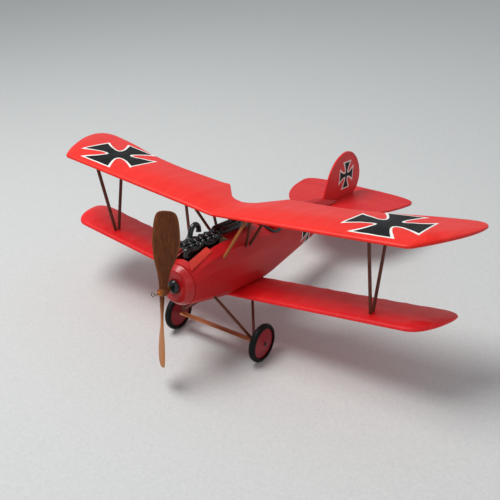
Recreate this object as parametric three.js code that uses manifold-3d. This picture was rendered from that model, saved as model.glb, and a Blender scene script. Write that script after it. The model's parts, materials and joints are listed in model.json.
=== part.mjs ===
// A rubber-powered balsa and tissue scale model of a V-strut biplane, 17 1/2 inches in span.
//
// The airframe is drawn in its own axes, in millimetres: X to port, Y aft, Z up, with the origin
// where the thrust line meets the propeller. The whole airframe group is then pitched nose-up, so
// that the two wheels and the tail skid stand on Z = 0.
import * as THREE from 'three';
import { mergeVertices } from 'three/addons/utils/BufferGeometryUtils.js';
import Module from 'manifold-3d';

const wasm = await Module();
wasm.setup();

// ------------------------------------------------------------------ driving dimensions
const INCH = 25.4;
const GAP = 0.3;                            // air left between pieces that touch
const SKIN = 0.5;                           // doped tissue on the wings, thickened to a solid
const SHELL = 0.8;                          // sheet and tissue skin of the fuselage
const STOCK = (3 / 32) * INCH;              // square strut, keel and outline stock
const SHEET = 1.6;                          // 1/16 in sheet balsa for formers and floors
const WIRE_RADIUS = 0.5;
const RUNNING_CLEARANCE = 0.06;
const GROUND_PITCH = THREE.MathUtils.degToRad(9.5);

// bottom is the height of a wing's underside at its leading edge, and climb its rise per mm aft.
const UPPER = {
  halfSpan: 8.75 * INCH, leading: 68, rake: 187, tipY: 145, bottom: 52.1, dihedral: 0.0987,
  climb: 0.022, thickness: 5.5, rootChord: 73,
};
const LOWER = {
  halfSpan: 213, leading: 88.4, rake: 184, tipY: 135, bottom: -31.6, dihedral: 0.128,
  climb: 0, thickness: 5.8, rootChord: 56.6, rootX: 0.25,
};
const EDGE_THICKNESS = 1.5;                 // wing skins and gap at the leading and trailing edge
const RIB_SPACING = 0.75 * INCH;
const RIB_THICKNESS = 1.2;

const STRUT_DEPTH = INCH / 8;                // fore and aft depth of the interplane struts
const PROP = { radius: 2.875 * INCH, y: 4.6, hubRadius: 4.2, hubFront: 0.8, hubBack: 8.8 };
const BUTTON = { tip: 14.4, face: 18.7, radius: 6.35, spigotRadius: 4.3, back: 29 };
const NOSE = { front: 19, groove: 24.8, radius: 18.9, faceRadius: 15, back: 29.6 };

const WHEEL = { radius: 0.75 * INCH, x: 50.7, y: 86.3, z: -65.1, width: 7, discRadius: 14.7 };
const WHEEL_FACETS = 24;
const WHEEL_REST = WHEEL.radius * Math.cos(Math.PI / WHEEL_FACETS);  // axle height over the ground
const AXLE_RADIUS = 0.8;
const SPREADER = { halfLength: 43, front: 78, back: 85, bottom: -64.2, top: -62 };

const ENGINE = { front: 32, back: 80, halfWidth: 7, bottom: 8.3, deck: 19, head: 33.2, pitch: 8 };
const BAY = { halfWidth: 10.5, front: 31.5, back: 82.8, bottom: 9 };
const COCKPIT = { y: 154, halfLength: 18, halfWidth: 16.5, rimRadius: 1.5, floor: 2 };
const GUN = { x: 4.5, z: 36, jacketRadius: 3.2, muzzle: 79, jacketBack: 104, back: 127 };
const MOTOR = { front: 41.5, back: 284.2, radius: 1.9, pegY: 287, pegRadius: 1.2 };

const TAILPLANE = { z: 12.5, rootFront: 258, tipY: 349, back: 371, halfSpan: 71.5 };
const FIN = { front: 272.7, top: 67.6 };
const SKID = { front: 297, back: 352, thickness: 3 };

// ------------------------------------------------------------------ finishes
const finish = (color, roughness, metalness = 0) =>
  new THREE.MeshStandardMaterial({ color, roughness, metalness });
const FINISH = {
  tissue: finish(0xd8201c, 0.45),
  redPaint: finish(0xb51a1f, 0.4),
  balsa: finish(0xcdb489, 0.8),
  strutWood: finish(0x5a2c1c, 0.6),
  spreaderWood: finish(0xa05f2c, 0.6),
  propWood: finish(0x6b3a22, 0.5),
  blackPlastic: finish(0x14161a, 0.25),
  blackRubber: finish(0x17191b, 0.7),
  steelWire: finish(0x9a9c9f, 0.3, 1),
  brass: finish(0xb8893a, 0.35, 1),
  tanRubber: finish(0xb89a6b, 0.8),
};

// ------------------------------------------------------------------ solids
const vec = (x, y, z) => new THREE.Vector3(x, y, z);

/** A closed geometry from points and triangles, with its faces turned outwards. */
function closedGeometry(points, triangles) {
  let volume = 0;
  for (const [a, b, c] of triangles) {
    volume += points[a].dot(points[b].clone().cross(points[c]));
  }
  const geometry = new THREE.BufferGeometry().setFromPoints(points);
  const index = volume > 0 ? triangles : triangles.map(([a, b, c]) => [a, c, b]);
  return geometry.setIndex(index.flat());
}

function toSolid(geometry) {
  const bare = geometry.clone();
  bare.deleteAttribute('normal');
  bare.deleteAttribute('uv');
  const merged = mergeVertices(bare, 1e-4);
  return new wasm.Manifold(new wasm.Mesh({
    numProp: 3,
    vertProperties: new Float32Array(merged.attributes.position.array),
    triVerts: new Uint32Array(merged.index.array),
  }));
}

function toGeometry(solid) {
  const { vertProperties, triVerts } = solid.getMesh();
  const geometry = new THREE.BufferGeometry();
  geometry.setAttribute('position', new THREE.BufferAttribute(vertProperties, 3));
  return geometry.setIndex(new THREE.BufferAttribute(triVerts, 1));
}

const join = (geometries) =>
  toGeometry(geometries.map(toSolid).reduce((whole, piece) => whole.add(piece)));
const cut = (geometry, tools) =>
  toGeometry(tools.map(toSolid).reduce((whole, tool) => whole.subtract(tool), toSolid(geometry)));
const keepInside = (geometry, space) => toGeometry(toSolid(geometry).intersect(toSolid(space)));

/** A skin through rings of equal point counts, closed by a fan at each end. */
function loft(rings) {
  const count = rings[0].length;
  const points = rings.flat();
  const triangles = [];
  for (let start = 0; start < count * (rings.length - 1); start += count) {
    for (let i = 0; i < count; i++) {
      const [a, b] = [start + i, start + ((i + 1) % count)];
      triangles.push([a, b, b + count], [a, b + count, a + count]);
    }
  }
  for (const [start, reversed] of [[0, true], [count * (rings.length - 1), false]]) {
    const centre = new THREE.Vector3();
    points.slice(start, start + count).forEach((point) => centre.addScaledVector(point, 1 / count));
    points.push(centre);
    for (let i = 0; i < count; i++) {
      const [a, b] = [start + i, start + ((i + 1) % count)];
      triangles.push(reversed ? [b, a, points.length - 1] : [a, b, points.length - 1]);
    }
  }
  return closedGeometry(points, triangles);
}

/** The solid between two grids of points that share a layout: grid[row][column]. */
function slab(upper, lower) {
  const [rows, columns] = [upper.length, upper[0].length];
  const points = [...upper.flat(), ...lower.flat()];
  const at = (row, column, side) => side * rows * columns + row * columns + column;
  const triangles = [];
  const quad = (a, b, c, d) => triangles.push([a, b, c], [a, c, d]);
  for (let r = 0; r < rows - 1; r++) {
    for (let c = 0; c < columns - 1; c++) {
      quad(at(r, c, 0), at(r + 1, c, 0), at(r + 1, c + 1, 0), at(r, c + 1, 0));
      quad(at(r, c, 1), at(r, c + 1, 1), at(r + 1, c + 1, 1), at(r + 1, c, 1));
    }
    quad(at(r, 0, 0), at(r, 0, 1), at(r + 1, 0, 1), at(r + 1, 0, 0));
    quad(at(r, columns - 1, 0), at(r + 1, columns - 1, 0), at(r + 1, columns - 1, 1), at(r, columns - 1, 1));
  }
  for (let c = 0; c < columns - 1; c++) {
    quad(at(0, c, 0), at(0, c + 1, 0), at(0, c + 1, 1), at(0, c, 1));
    quad(at(rows - 1, c, 0), at(rows - 1, c, 1), at(rows - 1, c + 1, 1), at(rows - 1, c + 1, 0));
  }
  return closedGeometry(points, triangles);
}

/** An upright box given by its lowest and highest corners. */
function box(low, high) {
  const size = vec(...high).sub(vec(...low));
  const middle = vec(...high).add(vec(...low)).multiplyScalar(0.5);
  return new THREE.BoxGeometry(...size.toArray()).translate(...middle.toArray());
}

/** A turned solid about the thrust line: the profile holds [radius, y] pairs. */
function turned(profile, segments = 24) {
  const closing = profile[0][0] > 0 ? [profile[0]] : [];
  const points = [...profile, ...closing].map(([radius, y]) => new THREE.Vector2(radius, y));
  return new THREE.LatheGeometry(points, segments);
}

/** A bar of eight-sided section between two points, width wide across its long axis. */
function stick(from, to, width = STOCK, depth = STOCK, side = vec(1, 0, 0)) {
  const along = to.clone().sub(from).normalize();
  const across = side.clone().addScaledVector(along, -side.dot(along)).normalize();
  const normal = along.clone().cross(across);
  const corner = 0.62;
  const section = [[1, corner], [corner, 1], [-corner, 1], [-1, corner],
    [-1, -corner], [-corner, -1], [corner, -1], [1, -corner]];
  const ring = (centre) => section.map(([u, v]) => centre.clone()
    .addScaledVector(across, u * width / 2).addScaledVector(normal, v * depth / 2));
  return loft([ring(from), ring(to)]);
}

/** Round wire along a smooth path through points. */
function wire(points, radius = WIRE_RADIUS, steps = 24, sides = 8) {
  const middle = new THREE.Vector2();
  const corner = (_, i) => new THREE.Vector2(radius, 0).rotateAround(middle, 2 * Math.PI * i / sides);
  const section = new THREE.Shape(Array.from({ length: sides }, corner));
  const extrudePath = new THREE.CatmullRomCurve3(points, false, 'centripetal');
  return new THREE.ExtrudeGeometry(section, { steps, extrudePath });
}

/** A flat plate of the given thickness: outline holds [y, z] pairs, the plate is centred on X = x. */
function uprightPlate(outline, thickness, x = 0) {
  const side = (offset) => outline.map(([y, z]) => vec(x + offset, y, z));
  return prism(outline, side(-thickness / 2), side(thickness / 2));
}

/** A flat plate lying level: outline holds [x, y] pairs. */
function levelPlate(outline, bottom, top) {
  return prism(outline, outline.map(([x, y]) => vec(x, y, bottom)), outline.map(([x, y]) => vec(x, y, top)));
}

/** The solid between two like outlines; outline gives their common shape in plan. */
function prism(outline, near, far) {
  const flat = outline.map(([u, v]) => new THREE.Vector2(u, v));
  const count = flat.length;
  const order = flat.map((_, i) => (THREE.ShapeUtils.isClockWise(flat) ? count - 1 - i : i));
  const contour = order.map((i) => flat[i]);
  const triangles = [];
  for (const [a, b, c] of THREE.ShapeUtils.triangulateShape(contour, [])) {
    const level = THREE.ShapeUtils.area([contour[a], contour[b], contour[c]]) > 0;
    const [p, q] = level ? [b, c] : [c, b];
    triangles.push([a, q, p], [a + count, p + count, q + count]);
  }
  for (let i = 0; i < count; i++) {
    const j = (i + 1) % count;
    triangles.push([i, j, j + count], [i, j + count, i + count]);
  }
  return closedGeometry([...order.map((i) => near[i]), ...order.map((i) => far[i])], triangles);
}

/** y = f(x) through the given points, smooth, with level slopes where the points turn back. */
function through(points) {
  const slope = (i) => {
    const [before, after] = [points[Math.max(i - 1, 0)], points[Math.min(i + 1, points.length - 1)]];
    return (after[1] - before[1]) / (after[0] - before[0]);
  };
  return (x) => {
    let i = points.findIndex((point) => point[0] >= x) - 1;
    if (i < 0) i = x < points[0][0] || x === points[0][0] ? 0 : points.length - 2;
    const [[x0, y0], [x1, y1]] = [points[i], points[i + 1]];
    const width = x1 - x0;
    const t = THREE.MathUtils.clamp((x - x0) / width, 0, 1);
    const [a, b] = [slope(i) * width, slope(i + 1) * width];
    return y0 * (1 + 2 * t) * (1 - t) ** 2 + a * t * (1 - t) ** 2
      + y1 * t * t * (3 - 2 * t) + b * t * t * (t - 1);
  };
}

// ------------------------------------------------------------------ assembly
const airframe = new THREE.Group();
airframe.rotation.x = -GROUND_PITCH;

function add(name, geometry, material, place = vec(0, 0, 0)) {
  const mesh = new THREE.Mesh(geometry, material);
  mesh.name = name;
  mesh.position.copy(place);
  airframe.add(mesh);
}

const SIDES = [['port', 1], ['starboard', -1]];

// ------------------------------------------------------------------ fuselage lines
// Half width, deck height, keel depth and squareness of the oval section along the body.
const BODY_FRONT = 25.3;
const BODY_BACK = 345;
const bodyHalfWidth = through([[BODY_FRONT, 19.2], [55, 21.4], [90, 22.2], [120, 21.6], [150, 19.8],
  [180, 17.6], [235, 12.2], [270, 8.6], [300, 5.8], [BODY_BACK, 2.4]]);
const bodyTop = through([[BODY_FRONT, 19.2], [55, 29.6], [90, 31.4], [120, 30.6], [150, 27.6],
  [178, 31.5], [235, 28], [265, 23.8], [286, 18.8], [300, 15], [312, 13], [BODY_BACK, 11.8]]);
const bodyBottom = through([[BODY_FRONT, -19.2], [55, -24.5], [90, -29.6], [145, -31], [185, -25.4],
  [225, -18.8], [265, -11.5], [300, -3.5], [BODY_BACK, 6.5]]);
const bodySquareness = through([[BODY_FRONT, 2], [55, 2.4], [150, 2.5], [235, 2.3], [BODY_BACK, 2]]);
const BODY_STATIONS = [BODY_FRONT, 38, 55, 72, 90, 120, 145, 162, 178, 205, 235, 270, 305, BODY_BACK];
const BODY_SIDES = 18;

/** One section of the body, drawn in from (or, if inset is negative, out from) its skin. */
function bodyRing(y, inset = 0) {
  const [top, bottom] = [bodyTop(y) - inset, bodyBottom(y) + inset];
  const [halfWidth, power] = [Math.max(bodyHalfWidth(y) - inset, 0.2), 2 / bodySquareness(y)];
  const bend = (value) => Math.sign(value) * Math.abs(value) ** power;
  return Array.from({ length: BODY_SIDES }, (_, i) => {
    const angle = (2 * Math.PI * (i + 0.5)) / BODY_SIDES;
    const height = (top - bottom) / 2 * bend(Math.sin(angle));
    return vec(halfWidth * bend(Math.cos(angle)), y, (top + bottom) / 2 + height);
  });
}

const bodyLoft = (stations, inset) => loft(stations.map((y) => bodyRing(y, inset)));
const bodyEnvelope = bodyLoft([BODY_FRONT - 0.1, ...BODY_STATIONS.slice(1, -1), BODY_BACK + GAP], -GAP);

/** Height of the deck at a point in plan. */
function deckHeight(x, y) {
  const [top, bottom] = [bodyTop(y), bodyBottom(y)];
  const n = bodySquareness(y);
  const reach = Math.min(Math.abs(x) / bodyHalfWidth(y), 1);
  return (top + bottom) / 2 + (top - bottom) / 2 * (1 - reach ** n) ** (1 / n);
}

// ------------------------------------------------------------------ wing lines
/** Plan outline of a wing at a distance from the centre line, as leading and trailing edge. */
function upperPlan(x) {
  const u = THREE.MathUtils.clamp((x - UPPER.rake) / (UPPER.halfSpan - UPPER.rake), 0, 1);
  const swept = 0.79 * u ** 1.22 + 0.21 * (1 - Math.sqrt(1 - u ** 8));
  return [UPPER.leading + (UPPER.tipY - 2 - UPPER.leading) * swept, upperTrailing(x)];
}
const upperTrailing = through([[0, 116], [9, 118], [15.5, 122.5], [22, 130.5], [29, 139], [34.5, 142.6],
  [37, 142.2], [55, 141.5], [97, 140.5], [137, 144.5], [173, 153], [200, 157], [211, 157.2], [217, 154.8],
  [220.5, 151], [UPPER.halfSpan, 146.5]]);

function lowerPlan(x) {
  const u = THREE.MathUtils.clamp((x - LOWER.rake) / (LOWER.halfSpan - LOWER.rake), 0, 1);
  const swept = (u ** 2.6 + 1 - Math.sqrt(1 - u * u)) / 2;
  return [LOWER.leading + (LOWER.tipY - 2 - LOWER.leading) * swept, lowerTrailing(x)];
}
const lowerTrailing = through([[0, 145], [150, 145], [198, 145.3], [207, 143.2], [211, 140],
  [LOWER.halfSpan, 136.5]]);

/** Rise of the upper surface over the flat lower one, as a share of the camber, from edge to edge. */
function camber(s) {
  return 10 * (0.2969 * Math.sqrt(s) - 0.126 * s - 0.3516 * s ** 2 + 0.2843 * s ** 3 - 0.1036 * s ** 4);
}

const UPPER_STATIONS = [0, 9, 15.5, 22, 29, 35, 97, 137, 173, UPPER.rake, 196, 204, 211, 217, 220.5,
  UPPER.halfSpan];
const LOWER_STATIONS = [LOWER.rootX, 75, 150, LOWER.rake, 192, 200, 206, 210, 212, LOWER.halfSpan];
const CHORD_STATIONS = [0, 0.03, 0.12, 0.3, 0.55, 0.8, 1];

/** Height of a wing's flat underside at a point in plan. */
function underside(wing, x, y) {
  return wing.bottom + wing.dihedral * Math.abs(x) + wing.climb * (y - wing.leading);
}

/** The solid between two heights inside a wing, over some span stations and chord fractions. */
function wingSlab(wing, plan, spans, chords, aboveBottom, belowTop) {
  const grid = (upper) => spans.map((x) => chords.map((s) => {
    const [front, back] = plan(Math.abs(x));
    const chord = back - front;
    const taper = Math.min(chord / wing.rootChord, 1);
    const rise = EDGE_THICKNESS + (wing.thickness - EDGE_THICKNESS) * camber(s) * taper;
    const y = front + s * chord;
    const base = underside(wing, x, y);
    return vec(x, y, upper ? base + rise - belowTop : base + aboveBottom(rise));
  }));
  return slab(grid(true), grid(false));
}

const topSkin = (wing, plan, spans) =>
  wingSlab(wing, plan, spans, CHORD_STATIONS, (rise) => rise - SKIN, 0);

function bottomSkin(wing, plan, spans) {
  const grid = (height) => spans.map((x) => [0, 1].map((s) => {
    const [front, back] = plan(Math.abs(x));
    const y = front + s * (back - front);
    return vec(x, y, underside(wing, x, y) + height);
  }));
  return slab(grid(SKIN), grid(0));
}

/** The whole wing grown by the gap, for cutting what meets it. */
function wingEnvelope(wing, plan, spans) {
  return wingSlab(wing, plan, spans, CHORD_STATIONS, () => -GAP, -GAP);
}

/** Leading edge, spar, trailing edge and ribs, glued up into one frame. */
function wingFrame(wing, plan, spans, ribs) {
  const inside = SKIN + GAP + 0.05;
  const member = (at, chords, inset) => wingSlab(wing, plan, at, chords, () => inset, inset);
  const lengthwise = [[0.04, 0.09], [0.29, 0.34], [0.84, 0.92]].map((chords) => member(spans, chords, inside));
  const crosswise = ribs.map((x) =>
    member([x - RIB_THICKNESS / 2, x + RIB_THICKNESS / 2], [0.065, 0.315, 0.88], inside + 0.15));
  return join([...lengthwise, ...crosswise]);
}

const mirroredSpans = (stations) => [...stations.slice(1).reverse().map((x) => -x), ...stations];
const ribPlaces = (first, last) => {
  const count = Math.round((last - first) / RIB_SPACING);
  return Array.from({ length: count + 1 }, (_, i) => first + ((last - first) * i) / count);
};

function addUpperWing() {
  const spans = mirroredSpans(UPPER_STATIONS);
  const frameSpans = mirroredSpans(UPPER_STATIONS.slice(0, -2));
  add('upper_wing_frame', wingFrame(UPPER, upperPlan, frameSpans, ribPlaces(-207, 207)), FINISH.balsa);
  add('upper_wing_top_covering', topSkin(UPPER, upperPlan, spans), FINISH.tissue);
  add('upper_wing_bottom_covering', bottomSkin(UPPER, upperPlan, spans), FINISH.tissue);
}

function addLowerWings() {
  for (const [name, side] of SIDES) {
    const spans = LOWER_STATIONS.map((x) => side * x);
    const frameSpans = spans.slice(0, -3);
    const ribs = ribPlaces(4, 203).map((x) => side * x);
    add(`${name}_lower_wing_frame`, wingFrame(LOWER, lowerPlan, frameSpans, ribs), FINISH.balsa);
    add(`${name}_lower_wing_top_covering`, topSkin(LOWER, lowerPlan, spans), FINISH.tissue);
    add(`${name}_lower_wing_bottom_covering`, bottomSkin(LOWER, lowerPlan, spans), FINISH.tissue);
  }
}

const upperEnvelope = wingEnvelope(UPPER, upperPlan, mirroredSpans(UPPER_STATIONS));
const lowerEnvelope = wingEnvelope(LOWER, lowerPlan, mirroredSpans([0, ...LOWER_STATIONS]));

// ------------------------------------------------------------------ tail lines
const tailplaneLeading = through([[0, TAILPLANE.rootFront], [25, 261], [40.5, 269.5], [54, 287.5],
  [64, 311.5], [69, 332], [TAILPLANE.halfSpan, TAILPLANE.tipY]]);
const tailplaneTrailing = (x) => TAILPLANE.tipY
  + (TAILPLANE.back - TAILPLANE.tipY) * (1 - (x / TAILPLANE.halfSpan) ** 3.3) ** (1 / 3.3);

function tailplaneOutline(grow = 0) {
  const leading = [0, 15, 27, 37, 45, 52, 59, 65, 69, TAILPLANE.halfSpan]
    .map((x) => [x + grow * 0.7, tailplaneLeading(x) - grow]);
  const trailing = [71.1, 69.6, 66.5, 61, 52, 38, 0].map((x) => [x + (x ? grow : 0), tailplaneTrailing(x) + grow]);
  leading[0][0] = 0;
  const port = [...leading, ...trailing];
  return [...port, ...port.slice(1, -1).reverse().map(([x, y]) => [-x, y])];
}

const tailplaneEnvelope = levelPlate(tailplaneOutline(GAP),
  TAILPLANE.z - STOCK / 2 - GAP, TAILPLANE.z + STOCK / 2 + GAP);

function addTail() {
  add('tailplane', levelPlate(tailplaneOutline(), TAILPLANE.z - STOCK / 2, TAILPLANE.z + STOCK / 2),
    FINISH.tissue);
  const finCurve = new THREE.SplineCurve([[FIN.front, 22], [276, 33], [282.2, 46.5], [289.5, 56.2],
    [298.5, 62.4], [308.5, 66.2], [319, FIN.top], [329, 65.8], [338, 61.2], [346, 54.2], [352.8, 44],
    [355.5, 33], [352, 21], [343, 13]]
    .map(([y, z]) => new THREE.Vector2(y, z)));
  const finOutline = [...finCurve.getPoints(30).map((point) => point.toArray()), [300, 13]];
  add('fin_and_rudder', cut(uprightPlate(finOutline, STOCK), [bodyEnvelope, tailplaneEnvelope]),
    FINISH.tissue);
  const ventral = [[284, 0], [290, -10.5], [SKID.front, -15.5], [SKID.back - 9, -34], [347, -20],
    [346, 4], [343, 8]];
  const skid = tailSkid(GAP);
  add('ventral_fin', cut(uprightPlate(ventral, STOCK), [bodyEnvelope, skid]), FINISH.tissue);
  add('tail_skid', tailSkid(0), FINISH.strutWood);
}

/** The skid under the ventral fin; its end is cut level with the ground. */
function tailSkid(grow) {
  const ground = (y) => WHEEL.z + (Math.sin(GROUND_PITCH) * (y - WHEEL.y) - WHEEL_REST)
    / Math.cos(GROUND_PITCH);
  const [front, back, t] = [SKID.front, SKID.back, SKID.thickness];
  const outline = [[front - grow, -15 + grow], [front - 1 - grow, -17.5], [back - 8, ground(back - 8) - grow],
    [back, ground(back) - grow], [back + grow, ground(back) + t], [back - 4, ground(back) + t + 2 + grow]];
  return uprightPlate(outline, STOCK + 2 * grow);
}

// ------------------------------------------------------------------ fuselage
const keelReach = (y) => bodyHalfWidth(y) * 0.99 - SHELL - GAP - STOCK / 2;
function keel(side, width) {
  const stations = [34, 55, 90, 120, 150, 180, 235, 270, 304];
  return loft(stations.map((y) => {
    const [x, z] = [side * keelReach(y), (bodyTop(y) + bodyBottom(y)) / 2];
    return [[1, 1], [-1, 1], [-1, -1], [1, -1]].map(([u, v]) => vec(x + u * width / 2, y, z + v * width / 2));
  }));
}

function addFuselage() {
  const outer = bodyLoft(BODY_STATIONS, 0);
  const inner = bodyLoft([BODY_FRONT - 1, ...BODY_STATIONS.slice(1, -1), BODY_BACK + 1], SHELL);
  const bay = box([-BAY.halfWidth, BAY.front, BAY.bottom], [BAY.halfWidth, BAY.back, 60]);
  const peg = new THREE.CylinderGeometry(MOTOR.pegRadius + GAP, MOTOR.pegRadius + GAP, 60, 16)
    .rotateZ(Math.PI / 2).translate(0, MOTOR.pegY, 0);
  add('fuselage_covering',
    cut(outer, [inner, bay, cockpitOpening(), lowerEnvelope, tailplaneEnvelope, peg]), FINISH.tissue);

  FORMERS.forEach(({ name, y, hole, top }) => {
    const inset = SHELL + GAP;
    const plate = bodyLoft([y - SHEET / 2, y + SHEET / 2], inset);
    const bore = new THREE.CylinderGeometry(hole, hole, 10, 20).translate(0, y, 0);
    const keels = [1, -1].map((side) => keel(side, STOCK + 2 * GAP));
    const tools = [bore, ...keels, lowerEnvelope, tailplaneEnvelope];
    if (top !== undefined) tools.push(box([-40, y - 5, top], [40, y + 5, 60]));
    add(name, cut(plate, tools), FINISH.balsa);
  });
  for (const [name, side] of SIDES) add(`${name}_side_keel`, keel(side, STOCK), FINISH.balsa);
}

const FORMERS = [
  { name: 'nose_former', y: 36, hole: 5.5, top: 5.8 },
  { name: 'firewall_former', y: 84, hole: 6 },
  { name: 'wing_former', y: 129, hole: 9 },
  { name: 'cockpit_former', y: 182, hole: 9 },
  { name: 'rear_former', y: 240, hole: 7 },
];

/** The cockpit hole in plan: an oval that is blunt in front. */
function cockpitPlan(inset, count = 28) {
  return Array.from({ length: count }, (_, i) => {
    const angle = (2 * Math.PI * i) / count;
    const forward = Math.sin(angle) < 0 ? 0.9 : 1;
    return [(COCKPIT.halfWidth - inset) * Math.cos(angle),
      COCKPIT.y + (COCKPIT.halfLength - inset) * forward * Math.sin(angle)];
  });
}
const cockpitOpening = () => levelPlate(cockpitPlan(0), COCKPIT.floor + 3, 60);

function addCockpit() {
  const inset = COCKPIT.rimRadius + GAP;
  const rim = cockpitPlan(inset, 24).map(([x, y]) => vec(x, y, deckHeight(x, y) + 0.4));
  const rings = rim.map((centre, i) => {
    const ahead = rim[(i + 1) % rim.length].clone().sub(rim.at(i - 1)).normalize();
    const across = ahead.clone().cross(vec(0, 0, 1)).normalize();
    const upright = across.clone().cross(ahead);
    return Array.from({ length: 8 }, (_, k) => centre.clone()
      .addScaledVector(across, COCKPIT.rimRadius * Math.cos(k * Math.PI / 4))
      .addScaledVector(upright, COCKPIT.rimRadius * Math.sin(k * Math.PI / 4)));
  });
  add('cockpit_coaming', closedTube(rings), FINISH.blackPlastic);
  const reach = COCKPIT.halfLength + 6;
  const floor = box([-40, COCKPIT.y - reach, COCKPIT.floor], [40, COCKPIT.y + reach, COCKPIT.floor + SHEET]);
  const room = bodyLoft(BODY_STATIONS, SHELL + GAP);
  add('cockpit_floor', cut(keepInside(floor, room),
    [keel(1, STOCK + 2 * GAP), keel(-1, STOCK + 2 * GAP)]), FINISH.balsa);
}

/** A ring-shaped solid: the last of the rings joins the first. */
function closedTube(rings) {
  const count = rings[0].length;
  const points = rings.flat();
  const triangles = [];
  for (let r = 0; r < rings.length; r++) {
    for (let i = 0; i < count; i++) {
      const next = ((r + 1) % rings.length) * count;
      const [a, b] = [r * count + i, r * count + ((i + 1) % count)];
      const [c, d] = [next + i, next + ((i + 1) % count)];
      triangles.push([a, b, d], [a, d, c]);
    }
  }
  return closedGeometry(points, triangles);
}

// ------------------------------------------------------------------ nose and propeller
function addNose() {
  const bore = BUTTON.spigotRadius + GAP;
  add('nose_block', turned([[bore, NOSE.front], [NOSE.faceRadius, NOSE.front],
    [NOSE.faceRadius + 0.9, NOSE.front + 0.5], [NOSE.radius - 0.6, NOSE.groove - 1.6],
    [NOSE.radius, NOSE.groove - 0.6], [NOSE.radius, NOSE.groove], [NOSE.radius - 1.9, NOSE.groove + 0.2],
    [NOSE.radius - 1.9, NOSE.back], [bore, NOSE.back]], 28),
  FINISH.redPaint);
  const shaft = WIRE_RADIUS + RUNNING_CLEARANCE;
  const { tip, face, radius, spigotRadius, back } = BUTTON;
  add('nose_button', turned([[shaft, tip], [1.8, tip], [2.1, tip + 0.4], [2.1, tip + 1.2],
    [4.4, tip + 1.9], [5.9, tip + 3], [radius, face - 0.5], [radius, face],
    [spigotRadius, face], [spigotRadius, back], [shaft, back]]), FINISH.blackPlastic);
}

const bladeChord = through([[4, 7.8], [12, 9.6], [20, 12.6], [30, 18.8], [40, 22.4], [48, 23.2], [58, 22.2],
  [65, 20.4], [69.5, 17.6], [72, 13.5], [PROP.radius, 7]]);
const bladeAngle = through([[4, 66], [22, 50], [40, 40], [55, 34.5], [PROP.radius, 31]]);
const bladeShift = through([[4, 0], [20, 0.6], [40, 2], [PROP.radius, 2]]);

/** One blade, root to tip, with its angle to the disc falling outwards. */
function blade() {
  const stations = [4, 12, 20, 30, 40, 54, 65, 69.5, 72, PROP.radius];
  const section = [[-0.5, 0], [-0.32, 0.62], [0, 0.8], [0.3, 0.5], [0.5, 0], [0.25, -0.2], [-0.25, -0.2]];
  return loft(stations.map((radius) => {
    const angle = THREE.MathUtils.degToRad(bladeAngle(radius));
    const thickness = THREE.MathUtils.lerp(4.4, 1.3, Math.sqrt(radius / PROP.radius));
    return section.map(([u, v]) => {
      const along = u * bladeChord(radius) + bladeShift(radius);
      return vec(along * Math.cos(angle) + v * thickness * Math.sin(angle),
        PROP.y + along * Math.sin(angle) - v * thickness * Math.cos(angle), radius);
    });
  }));
}

function addPropeller() {
  const bore = WIRE_RADIUS + 0.15;
  const { hubRadius, hubFront, hubBack } = PROP;
  const hub = turned([[0, hubFront], [hubRadius - 0.8, hubFront], [hubRadius, hubFront + 1.2],
    [hubRadius, hubBack - 1.2], [hubRadius - 0.8, hubBack], [0, hubBack]], 20);
  const hole = new THREE.CylinderGeometry(bore, bore, 40, 16);
  add('propeller', cut(join([hub, blade(), blade().rotateY(Math.PI)]), [hole]), FINISH.propWood);

  const loop = { x: -2.3, y: -5.6, radius: 1.8 };
  const ring = Array.from({ length: 11 }, (_, i) => {
    const angle = (i / 10) * 1.62 * Math.PI;
    return vec(loop.x + loop.radius * Math.cos(angle), loop.y - 0.02 * i, loop.radius * Math.sin(angle));
  });
  const hook = Array.from({ length: 9 }, (_, i) => {
    const angle = Math.PI * (0.82 - (i / 8) * 1.5);
    return vec(0, 37.6 + 3 * Math.cos(angle), 3 * Math.sin(angle));
  });
  const straight = [-4.2, -2.6, 12, 30.5, 32.6].map((y) => vec(0, y, 0));
  add('propeller_shaft', wire([...ring.reverse(), ...straight, ...hook], WIRE_RADIUS, 52, 6), FINISH.steelWire);
  const [beadFront, beadBack] = [hubBack + 0.4, BUTTON.tip - 0.5];
  const bead = turned([[bore, beadFront], [2.4, beadFront], [2.4, beadFront + 0.6], [1.8, beadFront + 0.9],
    [2.4, beadFront + 2.2], [2.4, beadFront + 3.2], [1.5, beadBack], [bore, beadBack]], 20);
  add('thrust_bead', bead, FINISH.brass);
}

function addRubberMotor() {
  const length = MOTOR.back - MOTOR.front;
  add('rubber_motor', new THREE.CylinderGeometry(MOTOR.radius, MOTOR.radius, length, 10)
    .translate(0, MOTOR.front + length / 2, 0), FINISH.tanRubber);
  add('motor_peg', new THREE.CylinderGeometry(MOTOR.pegRadius, MOTOR.pegRadius, 15.2, 16)
    .rotateZ(Math.PI / 2).translate(0, MOTOR.pegY, 0), FINISH.strutWood);
}

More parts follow.
